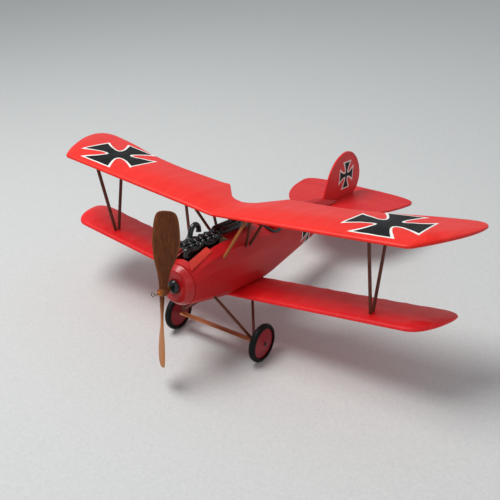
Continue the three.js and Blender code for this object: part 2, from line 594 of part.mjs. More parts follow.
// ------------------------------------------------------------------ engine and guns
function addEngine() {
  const { front, back, halfWidth, bottom, deck, head, pitch } = ENGINE;
  const floor = box([-40, 39, 6.2], [40, BAY.back - 0.2, 6.2 + SHEET]);
  add('engine_bay_floor', cut(keepInside(floor, bodyLoft(BODY_STATIONS, SHELL + GAP)),
    [keel(1, STOCK + 2 * GAP), keel(-1, STOCK + 2 * GAP)]), FINISH.balsa);

  const section = [[-halfWidth, deck - 4], [-halfWidth + 2.4, deck], [halfWidth - 2.4, deck],
    [halfWidth, deck - 4], [halfWidth - 1.5, bottom], [-halfWidth + 1.5, bottom]];
  const face = (y) => section.map(([x, z]) => vec(x, y, z));
  const nose = section.map(([x, z]) => vec(x * 0.55, front - 1.8, 14 + (z - 14) * 0.55));
  add('engine_crankcase', loft([nose, face(front), face(back)]), FINISH.blackPlastic);

  const firstCylinder = (front + back) / 2 - 2.5 * pitch;
  ['front', 'rear'].forEach((name, bank) => {
    const places = [0, 1, 2].map((i) => firstCylinder + (3 * bank + i) * pitch);
    const cylinders = places.map((y) => new THREE.CylinderGeometry(3.9, 3.9, head - deck - GAP, 16)
      .rotateX(Math.PI / 2).translate(0, y, (head + deck + GAP) / 2));
    const webs = box([-2.6, places[0] - 2, deck + 3], [2.6, places[2] + 2, head - 1.2]);
    const plate = box([-5.4, places[0] - 3.6, head - 2.4], [5.4, places[2] + 3.6, head - 0.8]);
    add(`${name}_cylinder_bank`, join([...cylinders, webs, plate]), FINISH.blackPlastic);
  });

  const shaftHeight = head + GAP + 1.3;
  const tube = new THREE.CylinderGeometry(1.3, 1.3, back - front + 2, 12)
    .translate(0, (front + back) / 2, shaftHeight);
  const boxes = Array.from({ length: 6 }, (_, i) => {
    const y = firstCylinder + i * pitch;
    return box([-2.6, y - 1.7, head + GAP], [2.6, y + 1.7, shaftHeight + 1.5]);
  });
  add('camshaft_cover', join([tube, ...boxes]), FINISH.blackPlastic);

  const manifoldRoute = [[33.5, 31.8], [44, 32.4], [48.6, 35.6], [50, 40.4], [52.6, 44.2], [56, 45.6],
    [59.4, 43.9], [61, 40.8], [61.3, 37.8]].map(([y, z]) => vec(-8.2, y, z));
  add('exhaust_manifold', wire(manifoldRoute, 2.4, 24), FINISH.blackPlastic);
}

/** Planks that lean in from the deck, between the nose block and the middle of the engine. */
function addCowlCheeks() {
  const thickness = 0.9;
  for (const [name, side] of SIDES) {
    const corners = [vec(side * 13, 25.9, 16.8), vec(side * 8.9, 27.5, 23.4), vec(side * 8.9, 51, 30.2),
      vec(side * 13, 54.5, 26.4)];
    const plan = corners.map(({ x, y }) => [x, y]);
    const lower = corners.map((corner) => corner.clone().sub(vec(0, 0, thickness)));
    const plank = cut(prism(plan, lower, corners), [noseSpigotRoom(), skinRoom()]);
    add(`${name}_cowl_cheek`, plank, FINISH.redPaint);
  }
}
const noseSpigotRoom = () => turned([[0, 20], [NOSE.radius + GAP, 20], [NOSE.radius + GAP, 25.1],
  [NOSE.radius - 1.6, 25.1], [NOSE.radius - 1.6, NOSE.back + GAP], [0, NOSE.back + GAP]], 32);

/** The fuselage skin with its openings, grown by the gap, for pieces let into it. */
function skinRoom() {
  const inner = bodyLoft([BODY_FRONT - 1, ...BODY_STATIONS.slice(1, -1), BODY_BACK + 1], SHELL + GAP);
  const bay = box([GAP - BAY.halfWidth, BAY.front + GAP, BAY.bottom + GAP],
    [BAY.halfWidth - GAP, BAY.back - GAP, 60]);
  return cut(bodyEnvelope, [inner, bay]);
}

function addGuns() {
  for (const [name, side] of SIDES) {
    const { jacketRadius, muzzle, jacketBack, back } = GUN;
    const jacket = turned([[0, muzzle + 2], [jacketRadius, muzzle + 2], [jacketRadius, jacketBack],
      [0, jacketBack]], 14);
    const barrel = turned([[0, muzzle - 1.5], [1.2, muzzle - 1.5], [1.2, muzzle + 3], [0, muzzle + 3]], 12);
    const parts = [jacket, barrel].map((geometry) => geometry.translate(side * GUN.x, 0, GUN.z));
    const receiver = box([side * GUN.x - 2.6, jacketBack - 1, 30], [side * GUN.x + 2.6, back, GUN.z + 3]);
    add(`${name}_machine_gun`, cut(join([...parts, receiver]), [bodyEnvelope]), FINISH.blackPlastic);
  }
}

// ------------------------------------------------------------------ struts and undercarriage
function addStruts() {
  const meets = [upperEnvelope, lowerEnvelope, bodyEnvelope];
  const inUpper = (x, y) => vec(x, y, underside(UPPER, x, y) + 2);
  const onLower = (x, y) => vec(x, y, underside(LOWER, x, y) + 4);
  for (const [name, side] of SIDES) {
    const place = (x, y, z) => vec(side * x, y, z);
    const struts = {
      front_interplane_strut: [inUpper(side * 151.5, 75.5), onLower(side * 150, 99.8)],
      rear_interplane_strut: [inUpper(side * 151.5, 111.5), onLower(side * 150, 104)],
      front_cabane_strut: [inUpper(side * 35.5, 75.2), place(17.4, 63.2, 14.6)],
      diagonal_cabane_strut: [inUpper(side * 35.5, 79.8), place(17.4, 100.2, 17)],
      rear_cabane_strut: [inUpper(side * 37, 111), place(17.2, 104.7, 16.6)],
      front_gear_strut: [place(14, 55, -15), place(41, 81.2, SPREADER.top + 1.6)],
      rear_gear_strut: [place(10.5, 124, -28.5), place(41.8, 85.6, SPREADER.top + 1.6)],
    };
    for (const [kind, [top, foot]] of Object.entries(struts)) {
      const depth = kind.includes('interplane') ? STRUT_DEPTH : STOCK;
      add(`${name}_${kind}`, cut(stick(top, foot, STOCK, depth), meets), FINISH.strutWood);
    }
  }
}

function addUndercarriage() {
  const { halfLength, front, back, bottom, top } = SPREADER;
  const middle = (bottom + top) / 2;
  const section = [[front, middle], [front + 1.4, top - 0.2], [front + 3.4, top], [back, middle + 0.5],
    [back, middle - 0.5], [front + 3.4, bottom], [front + 1.4, bottom + 0.2]];
  add('spreader_bar', loft([-halfLength, halfLength].map((x) => section.map(([y, z]) => vec(x, y, z)))),
    FINISH.spreaderWood);

  const endOut = WHEEL.x + WHEEL.width / 2 + 1.6;
  const axle = turned([[0, -endOut], [1.5, -endOut], [1.5, -endOut + 0.7], [AXLE_RADIUS, -endOut + 0.7],
    [AXLE_RADIUS, endOut - 0.7], [1.5, endOut - 0.7], [1.5, endOut], [0, endOut]], 16).rotateZ(-Math.PI / 2);
  add('axle', axle, FINISH.steelWire, vec(0, WHEEL.y, WHEEL.z));

  const half = WHEEL.width / 2;
  const { radius, discRadius } = WHEEL;
  const tyreSection = [[discRadius + GAP, -half + 0.3], [discRadius + 2, -half], [radius, -1.2], [radius, 1.2],
    [discRadius + 2, half], [discRadius + GAP, half - 0.3]];
  const bore = AXLE_RADIUS + RUNNING_CLEARANCE;
  const discSection = [[bore, -half - 0.5], [2.8, -half], [discRadius, -half + 1.2], [discRadius, half - 1.2],
    [2.8, half], [bore, half + 0.5]];
  for (const [name, side] of SIDES) {
    const hub = vec(side * WHEEL.x, WHEEL.y, WHEEL.z);
    // Half a facet of turn sets one flat of the tread level on the ground.
    const lay = (section) => turned(section, WHEEL_FACETS).rotateZ(-Math.PI / 2)
      .rotateX(Math.PI / WHEEL_FACETS + GROUND_PITCH);
    add(`${name}_tyre`, lay(tyreSection), FINISH.blackRubber, hub);
    add(`${name}_wheel_disc`, lay(discSection), FINISH.redPaint, hub);
  }
}

addFuselage();
addCockpit();
addNose();
addPropeller();
addRubberMotor();
addEngine();
addCowlCheeks();
addGuns();
addUpperWing();
addLowerWings();
addStruts();
addUndercarriage();
addTail();

// ------------------------------------------------------------------ standing on the ground
const group = new THREE.Group();
group.add(airframe);
airframe.updateMatrixWorld(true);
const extent = new THREE.Box3().setFromObject(airframe, true);
airframe.position.set(0, -(extent.min.y + extent.max.y) / 2, -extent.min.z);

export default group;
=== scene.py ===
"""Looks of a 17 1/2 inch rubber-powered balsa and tissue model biplane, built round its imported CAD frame.

Shapes are drawn in the airframe's own axes, in millimetres: X to port, Y aft and Z up, from the
point where the thrust line meets the propeller. AIR turns them into the row frame, in metres.
"""
import json
from math import ceil, copysign, cos, exp, pi, radians, sin, sqrt

import bmesh
import bpy
import numpy as np
from mathutils import Matrix, Vector


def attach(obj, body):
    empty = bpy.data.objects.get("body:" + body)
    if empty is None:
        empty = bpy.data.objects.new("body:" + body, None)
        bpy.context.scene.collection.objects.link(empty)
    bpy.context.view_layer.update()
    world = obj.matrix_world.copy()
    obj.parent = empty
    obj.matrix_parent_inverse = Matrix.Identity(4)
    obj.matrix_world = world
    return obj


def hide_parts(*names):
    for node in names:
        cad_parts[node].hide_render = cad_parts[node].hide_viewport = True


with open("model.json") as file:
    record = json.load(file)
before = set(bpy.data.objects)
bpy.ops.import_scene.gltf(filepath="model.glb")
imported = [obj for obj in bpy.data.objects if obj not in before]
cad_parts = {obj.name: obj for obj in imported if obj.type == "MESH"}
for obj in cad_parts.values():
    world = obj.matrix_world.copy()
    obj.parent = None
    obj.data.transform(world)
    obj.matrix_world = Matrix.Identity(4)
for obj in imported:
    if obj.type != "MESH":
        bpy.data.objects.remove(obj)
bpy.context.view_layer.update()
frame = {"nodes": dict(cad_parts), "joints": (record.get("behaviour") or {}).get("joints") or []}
SCENE = bpy.context.scene

# ---------- axes
MM = 0.001
THRUST = next(joint for joint in frame["joints"] if joint["name"] == "propeller_spin")
HUB = Vector(THRUST["pos_m"])
AFT = Vector(THRUST["axis"]).normalized()
PORT = Vector((1, 0, 0))
UP = PORT.cross(AFT)
TURN = Matrix((PORT, AFT, UP)).transposed()
AIR = Matrix.Translation(HUB) @ TURN.to_4x4() @ Matrix.Scale(MM, 4)
SIDES = (("port", 1), ("starboard", -1))


def clamp(value):
    return min(max(value, 0), 1)


def bend(value, power):
    """A power that keeps its sign, to square up an oval or round it off."""
    return copysign(abs(value) ** power, value)


def add_object(name, data):
    made = bpy.data.objects.new(name, data)
    SCENE.collection.objects.link(made)
    return made


# ---------- camera
def add_camera():
    """A slightly rolled view from the port bow, looking down at the model."""
    azimuth, elevation, roll = radians(36.8), radians(29.2), radians(-3.0)
    target = HUB + Vector((0.0024, 0.1281, -0.0189))
    distance = 0.7375
    back = Vector((sin(azimuth) * cos(elevation),
                   -cos(azimuth) * cos(elevation), sin(elevation)))
    level = Vector((cos(azimuth), sin(azimuth), 0))
    upright = back.cross(level)
    right = level * cos(roll) + upright * sin(roll)
    up = upright * cos(roll) - level * sin(roll)
    data = bpy.data.cameras.new("camera")
    data.sensor_width, data.lens = 36, 54.25
    camera = add_object("camera", data)
    camera.matrix_world = (Matrix.Translation(target + back * distance)
                           @ Matrix((right, up, back)).transposed().to_4x4())
    SCENE.camera = camera


# ---------- materials
def linear(colour):
    """An sRGB colour of 0 to 255 as linear RGBA."""
    parts = [channel / 255 for channel in colour]
    return (*[c / 12.92 if c <= 0.04045 else ((c + 0.055) / 1.055) ** 2.4 for c in parts], 1)


class Surface:
    """A procedural material, put together one layer at a time."""

    def __init__(self, name, along=None, stretch=1.0):
        self.material = bpy.data.materials.new(name)
        self.material.use_nodes = True
        self.tree = self.material.node_tree
        self.shader = self.tree.nodes["Principled BSDF"]
        # Coordinates in millimetres, with X' along the grain and packed closer by stretch.
        direction = Vector(along).normalized() if along is not None else PORT
        side = UP if abs(direction.dot(UP)) < 0.9 else PORT
        side = (side - direction * side.dot(direction)).normalized()
        turn = Matrix((direction, side, direction.cross(side))).transposed().to_euler()
        place = self.node("ShaderNodeMapping", vector_type="TEXTURE", Rotation=turn,
                          Scale=(MM * stretch, MM, MM))
        self.link(self.node("ShaderNodeTexCoord").outputs["Object"], place.inputs["Vector"])
        self.place = place.outputs[0]
        self.colour = None
        self.height = None

    def node(self, kind, **settings):
        made = self.tree.nodes.new(kind)
        for key, value in settings.items():
            socket = made.inputs.get(key.replace("_", " ")) or made.inputs.get(key)
            if socket is not None:
                socket.default_value = value
            else:
                setattr(made, key, value)
        return made

    def link(self, output, socket):
        self.tree.links.new(output, socket)

    def noise(self, scale, detail=3.0, roughness=0.55, distortion=0.0):
        made = self.node("ShaderNodeTexNoise", Scale=scale, Detail=detail, Roughness=roughness,
                         Distortion=distortion)
        self.link(self.place, made.inputs["Vector"])
        return made.outputs["Fac"]

    def base(self, value, stops):
        """The lowest layer: colours at places along the value, blended in between."""
        made = self.node("ShaderNodeValToRGB")
        elements = made.color_ramp.elements
        while len(elements) < len(stops):
            elements.new(0.5)
        for element, (position, colour) in zip(elements, stops):
            element.position, element.color = position, linear(colour)
        self.link(value, made.inputs["Fac"])
        self.colour = made.outputs["Color"]
        return self

    def spread(self, value, **limits):
        """A value carried from one range to another, and held at its ends."""
        made = self.node("ShaderNodeMapRange", **limits)
        self.link(value, made.inputs["Value"])
        return made.outputs[0]

    def tint(self, mask, colour, amount=1.0, low=0.4, high=0.6):
        """Lays a colour over the base where mask rises from low to high."""
        mix = self.node("ShaderNodeMix", data_type="RGBA")
        self.link(self.spread(mask, From_Min=low, From_Max=high, To_Max=amount), mix.inputs[0])
        self.link(self.colour, mix.inputs[6])
        mix.inputs[7].default_value = linear(colour)
        self.colour = mix.outputs[2]
        return self

    def edges(self, colour, amount=0.5, low=0.52, high=0.62):
        """A colour on edges where the mesh is sharply convex: dust and rubbed wear on plastic and wood, a
        painted highlight on the red enamel.
        """
        return self.tint(self.node("ShaderNodeNewGeometry").outputs["Pointiness"], colour, amount, low, high)

    def place_along(self, axis):
        """The place along one axis of the row frame, in metres."""
        split = self.node("ShaderNodeSeparateXYZ")
        self.link(self.node("ShaderNodeTexCoord").outputs["Object"], split.inputs[0])
        return split.outputs[axis]

    def nearness_to_ribs(self, first, pitch):
        """1 on the line of a rib and 0 away from it: the inmost rib's distance out, and the pitch."""
        value = self.place_along("X")
        for operation, operand in (("ABSOLUTE", 0), ("SUBTRACT", first * MM), ("DIVIDE", pitch * MM),
                                   ("PINGPONG", 0.5), ("MULTIPLY", pitch / 1.1), ("SUBTRACT", 1)):
            step = self.node("ShaderNodeMath", operation=operation)
            self.link(value, step.inputs[0])
            step.inputs[1].default_value = operand
            value = step.outputs[0]
        fade = self.node("ShaderNodeMath", operation="MULTIPLY", use_clamp=True)
        self.link(value, fade.inputs[0])
        fade.inputs[1].default_value = -1
        return fade.outputs[0]

    def aft_of(self, start, full):
        """0 ahead of one place and 1 behind another, in millimetres aft of the propeller."""
        dot = self.node("ShaderNodeVectorMath", operation="DOT_PRODUCT")
        self.link(self.node("ShaderNodeTexCoord").outputs["Object"], dot.inputs[0])
        dot.inputs[1].default_value = AFT
        hub = HUB.dot(AFT)
        return self.spread(dot.outputs["Value"], From_Min=hub + start * MM, From_Max=hub + full * MM)

    def painted_light_below_hub(self):
        """1 on what hangs under the thrust line at rest, such as the lower blade: where light is painted on
        it.
        """
        return self.spread(self.place_along("Z"), From_Min=HUB.z - 30 * MM, From_Max=HUB.z - 6 * MM,
                           To_Min=1.0, To_Max=0.0)

    def rough(self, value, low, high):
        self.link(self.spread(value, To_Min=low, To_Max=high), self.shader.inputs["Roughness"])
        return self

    def bump(self, value, depth_mm, strength=1.0):
        made = self.node("ShaderNodeBump", Strength=strength, Distance=depth_mm * MM)
        self.link(value, made.inputs["Height"])
        if self.height is not None:
            self.link(self.height, made.inputs["Normal"])
        self.height = made.outputs[0]
        return self

    def done(self, **sockets):
        self.link(self.colour, self.shader.inputs["Base Color"])
        if self.height is not None:
            self.link(self.height, self.shader.inputs["Normal"])
        for key, value in sockets.items():
            self.shader.inputs[key.replace("_", " ")].default_value = value
        return self.material


def red_tissue(name, light, dark, along=PORT, ribs=None, painted_sheen_band=None):
    """Doped tissue paper: long fibres, cloudy dope, a thin uneven shine, and a painted highlight along the
    ribs.

    The sheen band holds two places, in millimetres aft of the propeller: where a painted sheen and shade,
    duller and pinker, starts over the rear of the tissue, and where it is strongest.
    """
    made = Surface(name, along, 4)
    fibres = made.noise(1.6, 5, 0.7)
    clouds = made.noise(0.045, 3, 0.6, 0.4)
    made.base(fibres, [(0.3, dark), (0.62, light)])
    made.tint(clouds, dark, 0.55, 0.42, 0.68)
    # Painted sheen and shade: the rear of the tissue washed duller and pinker, aft of the given places.
    if painted_sheen_band:
        made.tint(made.aft_of(*painted_sheen_band), (204, 62, 62), 0.42, 0.0, 1.0)
    # Painted highlight: paler lines along the ribs, where the tissue's ridges catch the light.
    if ribs:
        made.tint(made.nearness_to_ribs(*ribs), (250, 96, 78), 0.16, 0.0, 1.0)
    made.rough(clouds, 0.36, 0.6)
    made.bump(fibres, 0.05, 0.35).bump(made.noise(0.12, 2), 0.35, 0.3)
    return made.done(Coat_Weight=0.06, Coat_Roughness=0.3, Specular_IOR_Level=0.3)


def red_paint(name, light, dark):
    """Brushed enamel over sanded balsa."""
    made = Surface(name, AFT, 3)
    strokes = made.noise(0.9, 4, 0.6)
    made.base(strokes, [(0.3, dark), (0.65, light)])
    made.tint(made.noise(0.12, 2), dark, 0.4)
    # Painted highlight: lighter orange-red on the sharp edges of the enamel.
    made.edges((224, 78, 62), 0.35)
    made.rough(strokes, 0.24, 0.42)
    made.bump(strokes, 0.05, 0.4)
    return made.done(Coat_Weight=0.3, Coat_Roughness=0.2, Specular_IOR_Level=0.3)


def wood(name, light, dark, along, roughness=(0.45, 0.65)):
    """Straight-grained strip wood under thin stain."""
    made = Surface(name, along, 14)
    grain = made.noise(1.3, 5, 0.65, 0.6)
    made.base(grain, [(0.32, dark), (0.66, light)])
    made.tint(made.noise(4.55, 3), dark, 0.5, 0.56, 0.72)
    made.rough(grain, roughness[1], roughness[0])
    made.bump(grain, 0.08, 0.5)
    return made.done(Specular_IOR_Level=0.35)


def propeller_wood(name):
    """A carved block, stained and sealed; the blade that hangs down at rest is painted paler, as painted
    light on its lit face.
    """
    made = Surface(name, UP, 10)
    grain = made.noise(1.1, 5, 0.65, 0.9)
    made.base(grain, [(0.28, (70, 32, 14)), (0.55, (108, 54, 22)), (0.75, (142, 80, 36))])
    made.tint(made.noise(0.4, 2), (72, 36, 18), 0.6, 0.5, 0.75)
    # Painted light: the lower blade at rest made paler, as if lit from above.
    made.tint(made.painted_light_below_hub(), (206, 134, 74), 0.72, 0.0, 1.0)
    made.edges((176, 110, 58), 0.5)
    made.rough(grain, 0.62, 0.44)
    made.bump(grain, 0.06, 0.45)
    return made.done(Coat_Weight=0.04, Coat_Roughness=0.3, Specular_IOR_Level=0.18)


def black_plastic(name, roughness=(0.08, 0.2), light=(26, 28, 32), dark=(10, 11, 13)):
    """Moulded styrene: fine orange peel, dusty greys on its edges."""
    made = Surface(name)
    peel = made.noise(2.5, 3)
    made.base(peel, [(0.35, dark), (0.7, light)])
    made.edges((92, 96, 100), 0.3, 0.54, 0.66)
    made.rough(made.noise(0.7, 3), *roughness)
    made.bump(peel, 0.04, 0.4)
    return made.done(Specular_IOR_Level=0.55)


def rubber(name):
    """Matt tyre rubber with a little dust."""
    made = Surface(name)
    grain = made.noise(3.2, 4)
    made.base(grain, [(0.35, (8, 9, 9)), (0.7, (18, 19, 18))])
    made.tint(made.noise(0.25, 3), (38, 38, 36), 0.25, 0.5, 0.75)
    made.rough(grain, 0.42, 0.66)
    made.bump(grain, 0.05, 0.4)
    return made.done(Specular_IOR_Level=0.16)


def metal(name, light, dark, along=AFT):
    """Drawn wire or turned metal: fine scratches along its length."""
    made = Surface(name, along, 12)
    scratches = made.noise(4.0, 4, 0.7)
    made.base(scratches, [(0.3, dark), (0.65, light)])
    made.tint(made.noise(0.5, 2), dark, 0.5, 0.55, 0.8)
    made.rough(scratches, 0.2, 0.42)
    made.bump(scratches, 0.02, 0.4)
    return made.done(Metallic=1.0)


def rubber_strip(name):
    """Tan latex strip with a dusting of talc."""
    made = Surface(name, AFT, 5)
    streaks = made.noise(2.0, 3)
    made.base(streaks, [(0.35, (160, 128, 84)), (0.7, (198, 170, 124))])
    made.tint(made.noise(0.4, 3), (220, 208, 186), 0.5, 0.5, 0.75)
    made.rough(streaks, 0.55, 0.8)
    made.bump(streaks, 0.06, 0.5)
    return made.done(Subsurface_Weight=0.1)


def decal_film(name, light, dark):
    """Printed waterslide film, with the tissue's texture pressed through it."""
    made = Surface(name, PORT, 4)
    fibres = made.noise(1.6, 5, 0.7)
    made.base(fibres, [(0.3, dark), (0.62, light)])
    made.tint(made.noise(0.08, 3), dark, 0.5)
    made.rough(made.noise(0.2, 2), 0.32, 0.5)
    made.bump(fibres, 0.05, 0.35)
    return made.done(Specular_IOR_Level=0.07)


def floor_paper(name):
    made = Surface(name)
    grain = made.noise(0.4, 3)
    made.base(grain, [(0.3, (196, 199, 199)), (0.7, (205, 208, 207))])
    made.rough(grain, 0.75, 0.9)
    made.bump(grain, 0.05, 0.2)
    return made.done(Specular_IOR_Level=0.2)


# ---------- meshes
def through(points):
    """y = f(x) through the points, smooth, with the slope at each set by its neighbours."""
    def slope(i):
        before, after = points[max(i - 1, 0)], points[min(i + 1, len(points) - 1)]
        return (after[1] - before[1]) / (after[0] - before[0])

    def value(x):
        i = max((k for k, point in enumerate(points[:-1]) if point[0] <= x), default=0)
        (x0, y0), (x1, y1) = points[i], points[i + 1]
        t = clamp((x - x0) / (x1 - x0))
        a, b = slope(i) * (x1 - x0), slope(i + 1) * (x1 - x0)
        return (y0 * (1 + 2 * t) * (1 - t) ** 2 + a * t * (1 - t) ** 2
                + y1 * t * t * (3 - 2 * t) + b * t * t * (t - 1))
    return value


def loft(rings, looped=False):
    """A skin through rings of equal point counts, closed at its ends unless it is looped."""
    count = len(rings[0])
    points = [tuple(point) for ring in rings for point in ring]
    faces = []
    for r in range(len(rings) if looped else len(rings) - 1):
        here, there = r * count, (r + 1) % len(rings) * count
        for i in range(count):
            j = (i + 1) % count
            faces.append((here + i, here + j, there + j, there + i))
    if not looped:
        faces.append(tuple(range(count))[::-1])
        faces.append(tuple(range(len(points) - count, len(points))))
    return points, faces


def merge(shapes):
    points, faces = [], []
    for more_points, more_faces in shapes:
        start = len(points)
        points += more_points
        faces += [tuple(i + start for i in face) for face in more_faces]
    return points, faces


def moved(shape, matrix):
    return [tuple(matrix @ Vector(point)) for point in shape[0]], shape[1]


def mirrored(shape):
    return [(-x, y, z) for x, y, z in shape[0]], shape[1]


def box(low, high):
    (x0, y0, z0), (x1, y1, z1) = low, high
    return loft([[(x0, y0, z), (x1, y0, z), (x1, y1, z), (x0, y1, z)] for z in (z0, z1)])


def turned(profile, segments=48, centre=(0, 0, 0), axis="Y"):
    """A closed turned solid: the profile holds (radius, place along the axis) pairs, going round."""
    rings = []
    for k in range(segments):
        angle = 2 * pi * k / segments
        c, s = cos(angle), sin(angle)
        spin = {"Y": lambda r, a: (r * c, a, r * s), "X": lambda r, a: (a, r * c, r * s),
                "Z": lambda r, a: (r * c, r * s, a)}[axis]
        rings.append([tuple(p + q for p, q in zip(spin(r, a), centre)) for r, a in profile])
    return loft(rings, looped=True)


def arc(start, stop, step):
    """Angles in radians, from a range in degrees."""
    return [radians(d) for d in range(start, stop, step)]


def rod(start, end, radius, sides=16):
    return tube([start, end], radius, sides)


def tube(path, radius, sides=12, looped=False, bore=0.0):
    """A round tube along a path. radius is one number or one for each point; bore hollows its far end."""
    path = [Vector(point) for point in path]
    radii = radius if isinstance(radius, (list, tuple)) else [radius] * len(path)
    rings, across = [], None
    for i, point in enumerate(path):
        after = path[(i + 1) % len(path)] if looped else path[min(i + 1, len(path) - 1)]
        before = path[i - 1] if looped else path[max(i - 1, 0)]
        ahead = (after - before).normalized()
        if across is None:
            across = Vector((0, 0, 1)) if abs(ahead.z) < 0.9 else Vector((1, 0, 0))
        across = (across - ahead * across.dot(ahead)).normalized()
        other = ahead.cross(across)
        rings.append([point + (across * cos(a) + other * sin(a)) * radii[i]
                      for a in (2 * pi * k / sides for k in range(sides))])
    if bore:
        rings += [[path[at] + (point - path[at]) * bore for point in rings[at]] for at in (-1, -5)]
    return loft(rings, looped)


def smooth_path(points, steps=8):
    """Points on a Catmull-Rom curve through the given ones."""
    points = [Vector(point) for point in points]
    ends = [points[0] * 2 - points[1], *points, points[-1] * 2 - points[-2]]
    path = []
    for p0, p1, p2, p3 in zip(ends, ends[1:], ends[2:], ends[3:]):
        for k in range(steps):
            t = k / steps
            path.append(0.5 * (2 * p1 + (p2 - p0) * t + (2 * p0 - 5 * p1 + 4 * p2 - p3) * t * t
                               + (3 * p1 - p0 - 3 * p2 + p3) * t ** 3))
    return [*path, points[-1]]


def to_object(name, shape):
    mesh = bpy.data.meshes.new(name)
    mesh.from_pydata([AIR @ Vector(point) for point in shape[0]], [], shape[1])
    work = bmesh.new()
    work.from_mesh(mesh)
    bmesh.ops.recalc_face_normals(work, faces=work.faces)
    work.to_mesh(mesh)
    work.free()
    return add_object(name, mesh)


def apply_modifiers(made):
    depsgraph = bpy.context.evaluated_depsgraph_get()
    mesh = bpy.data.meshes.new_from_object(made.evaluated_get(depsgraph))
    made.modifiers.clear()
    made.data = mesh


def combine(made, shapes, operation="DIFFERENCE"):
    """Cuts the object by each closed shape, or keeps what lies inside it."""
    for shape in shapes:
        tool = to_object("tool", shape)
        modifier = made.modifiers.new("combine", "BOOLEAN")
        modifier.operation, modifier.object, modifier.solver = operation, tool, "MANIFOLD"
        apply_modifiers(made)
        bpy.data.objects.remove(tool)


def shade(made, material, crisp=35, bevel=0.0):
    """Smooth shading with crisp corners, and edges softened to a width in millimetres."""
    made.data.materials.clear()
    made.data.materials.append(material)
    made.data.polygons.foreach_set("use_smooth", [True] * len(made.data.polygons))
    made.data.set_sharp_from_angle(angle=radians(crisp))
    if bevel:
        modifier = made.modifiers.new("softened_edges", "BEVEL")
        modifier.width, modifier.segments = bevel * MM, 2
        modifier.limit_method, modifier.angle_limit = "ANGLE", radians(30)
        modifier.harden_normals = True


def finish_piece(made, material, body="airframe", slot=None, replaces=(), crisp=35, bevel=0.0):
    """Shading, finish and body for a piece that is ready, with the CAD parts it replaces hidden."""
    shade(made, material, crisp, bevel)
    if replaces:
        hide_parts(*replaces)
    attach(made, body)
    return made


def piece(name, shape, material, **placing):
    return finish_piece(to_object(name, shape), material, **placing)


# ---------- wings
UPPER = dict(half_span=222.25, leading=68.0, rake=187.0, tip=143.0, bottom=52.1, dihedral=0.0987, climb=0.022,
             thickness=5.5, root_chord=73.0, sag=0.4, ribs=(-207.0, 207.0, 22))
LOWER = dict(half_span=213.0, leading=88.4, rake=184.0, tip=133.0, bottom=-31.6, dihedral=0.128, climb=0.0,
             thickness=5.8, root_chord=56.6, sag=0.5, ribs=(4.0, 203.0, 10), root=0.25)
EDGE = 1.5                                      # thickness at the leading and trailing edge
TISSUE_SPANS = (0.07, 0.315, 0.87)              # leading edge, spar and trailing edge, as parts of the chord

upper_trailing = through([(0, 116), (9, 117), (16, 121.4), (22.5, 129), (29, 136.5), (34, 142.4),
                          (36.2, 143.8), (38.2, 143.4), (42, 142.2), (55, 141.5), (97, 140.5), (137, 144.5),
                          (173, 153), (200, 157), (211, 157.2), (217, 154.8), (220.5, 151),
                          (UPPER["half_span"], 146.5)])
lower_trailing = through([(0, 145), (150, 145), (198, 145.3), (207, 143.2), (211, 140),
                          (LOWER["half_span"], 136.5)])


def rounding(wing, x):
    """0 inboard of the raked tip, rising to 1 at its end."""
    return clamp((x - wing["rake"]) / (wing["half_span"] - wing["rake"]))


def upper_plan(x):
    """The leading and trailing edge at a distance out along the span."""
    u = rounding(UPPER, x)
    swept = 0.79 * u ** 1.22 + 0.21 * (1 - sqrt(1 - u ** 8))
    return UPPER["leading"] + (UPPER["tip"] - UPPER["leading"]) * swept, upper_trailing(x)


def lower_plan(x):
    u = rounding(LOWER, x)
    swept = (u ** 2.6 + 1 - sqrt(1 - u * u)) / 2
    scallop = hollow(LOWER, x) if x < LOWER["rake"] else 0
    return LOWER["leading"] + (LOWER["tip"] - LOWER["leading"]) * swept, lower_trailing(x) - scallop


UPPER["plan"], LOWER["plan"] = upper_plan, lower_plan


def camber(s):
    """The height of a flat-bottomed section over its base, as a share of its thickness."""
    return 10 * (0.2969 * sqrt(s) - 0.126 * s - 0.3516 * s ** 2 + 0.2843 * s ** 3 - 0.1036 * s ** 4)


def hollow(wing, x):
    """0 on a rib and 1 halfway to the next."""
    first, last, bays = wing["ribs"]
    return abs(sin(pi * (x - first) / (last - first) * bays)) ** 0.8


def slack(s):
    """0 where the tissue touches the edges and the spar, 1 where it spans between them."""
    for front, back in zip(TISSUE_SPANS, TISSUE_SPANS[1:]):
        if front < s < back:
            return sin(pi * (s - front) / (back - front)) ** 0.7
    return 0


def fold(x, y, start, end, width, height):
    """The height of a soft crease in the tissue along a line in plan."""
    line = Vector((end[0] - start[0], end[1] - start[1]))
    offset = Vector((x - start[0], y - start[1]))
    along = clamp(offset.dot(line) / line.length_squared)
    away = (offset - line * along).length / width
    return height * exp(-away * away) * sin(pi * (0.08 + 0.84 * along))


# Creases where the tissue has buckled at the tips: start, end, width and height in millimetres.
UPPER_FOLDS = [((190, 98), (201, 76), 2.0, 1.7), ((192, 96), (208, 88), 2.2, 1.5),
               ((195, 100), (207, 96), 2.8, -1.2), ((197, 88), (206, 85), 1.8, -1.3),
               ((60, 100), (150, 96), 5, 0.2), ((-60, 104), (-110, 92), 6, 0.2),
               ((172, 84), (186, 80), 3, 0.3)]
LOWER_FOLDS = [((186, 103), (191, 90), 1.8, 1.4), ((188, 101), (202, 106), 2.0, 1.3),
               ((193, 94), (201, 101), 2.0, -1.1), ((120, 104), (176, 118), 5, 0.25)]


def underside(wing, x, y):
    return wing["bottom"] + wing["dihedral"] * abs(x) + wing["climb"] * (y - wing["leading"])


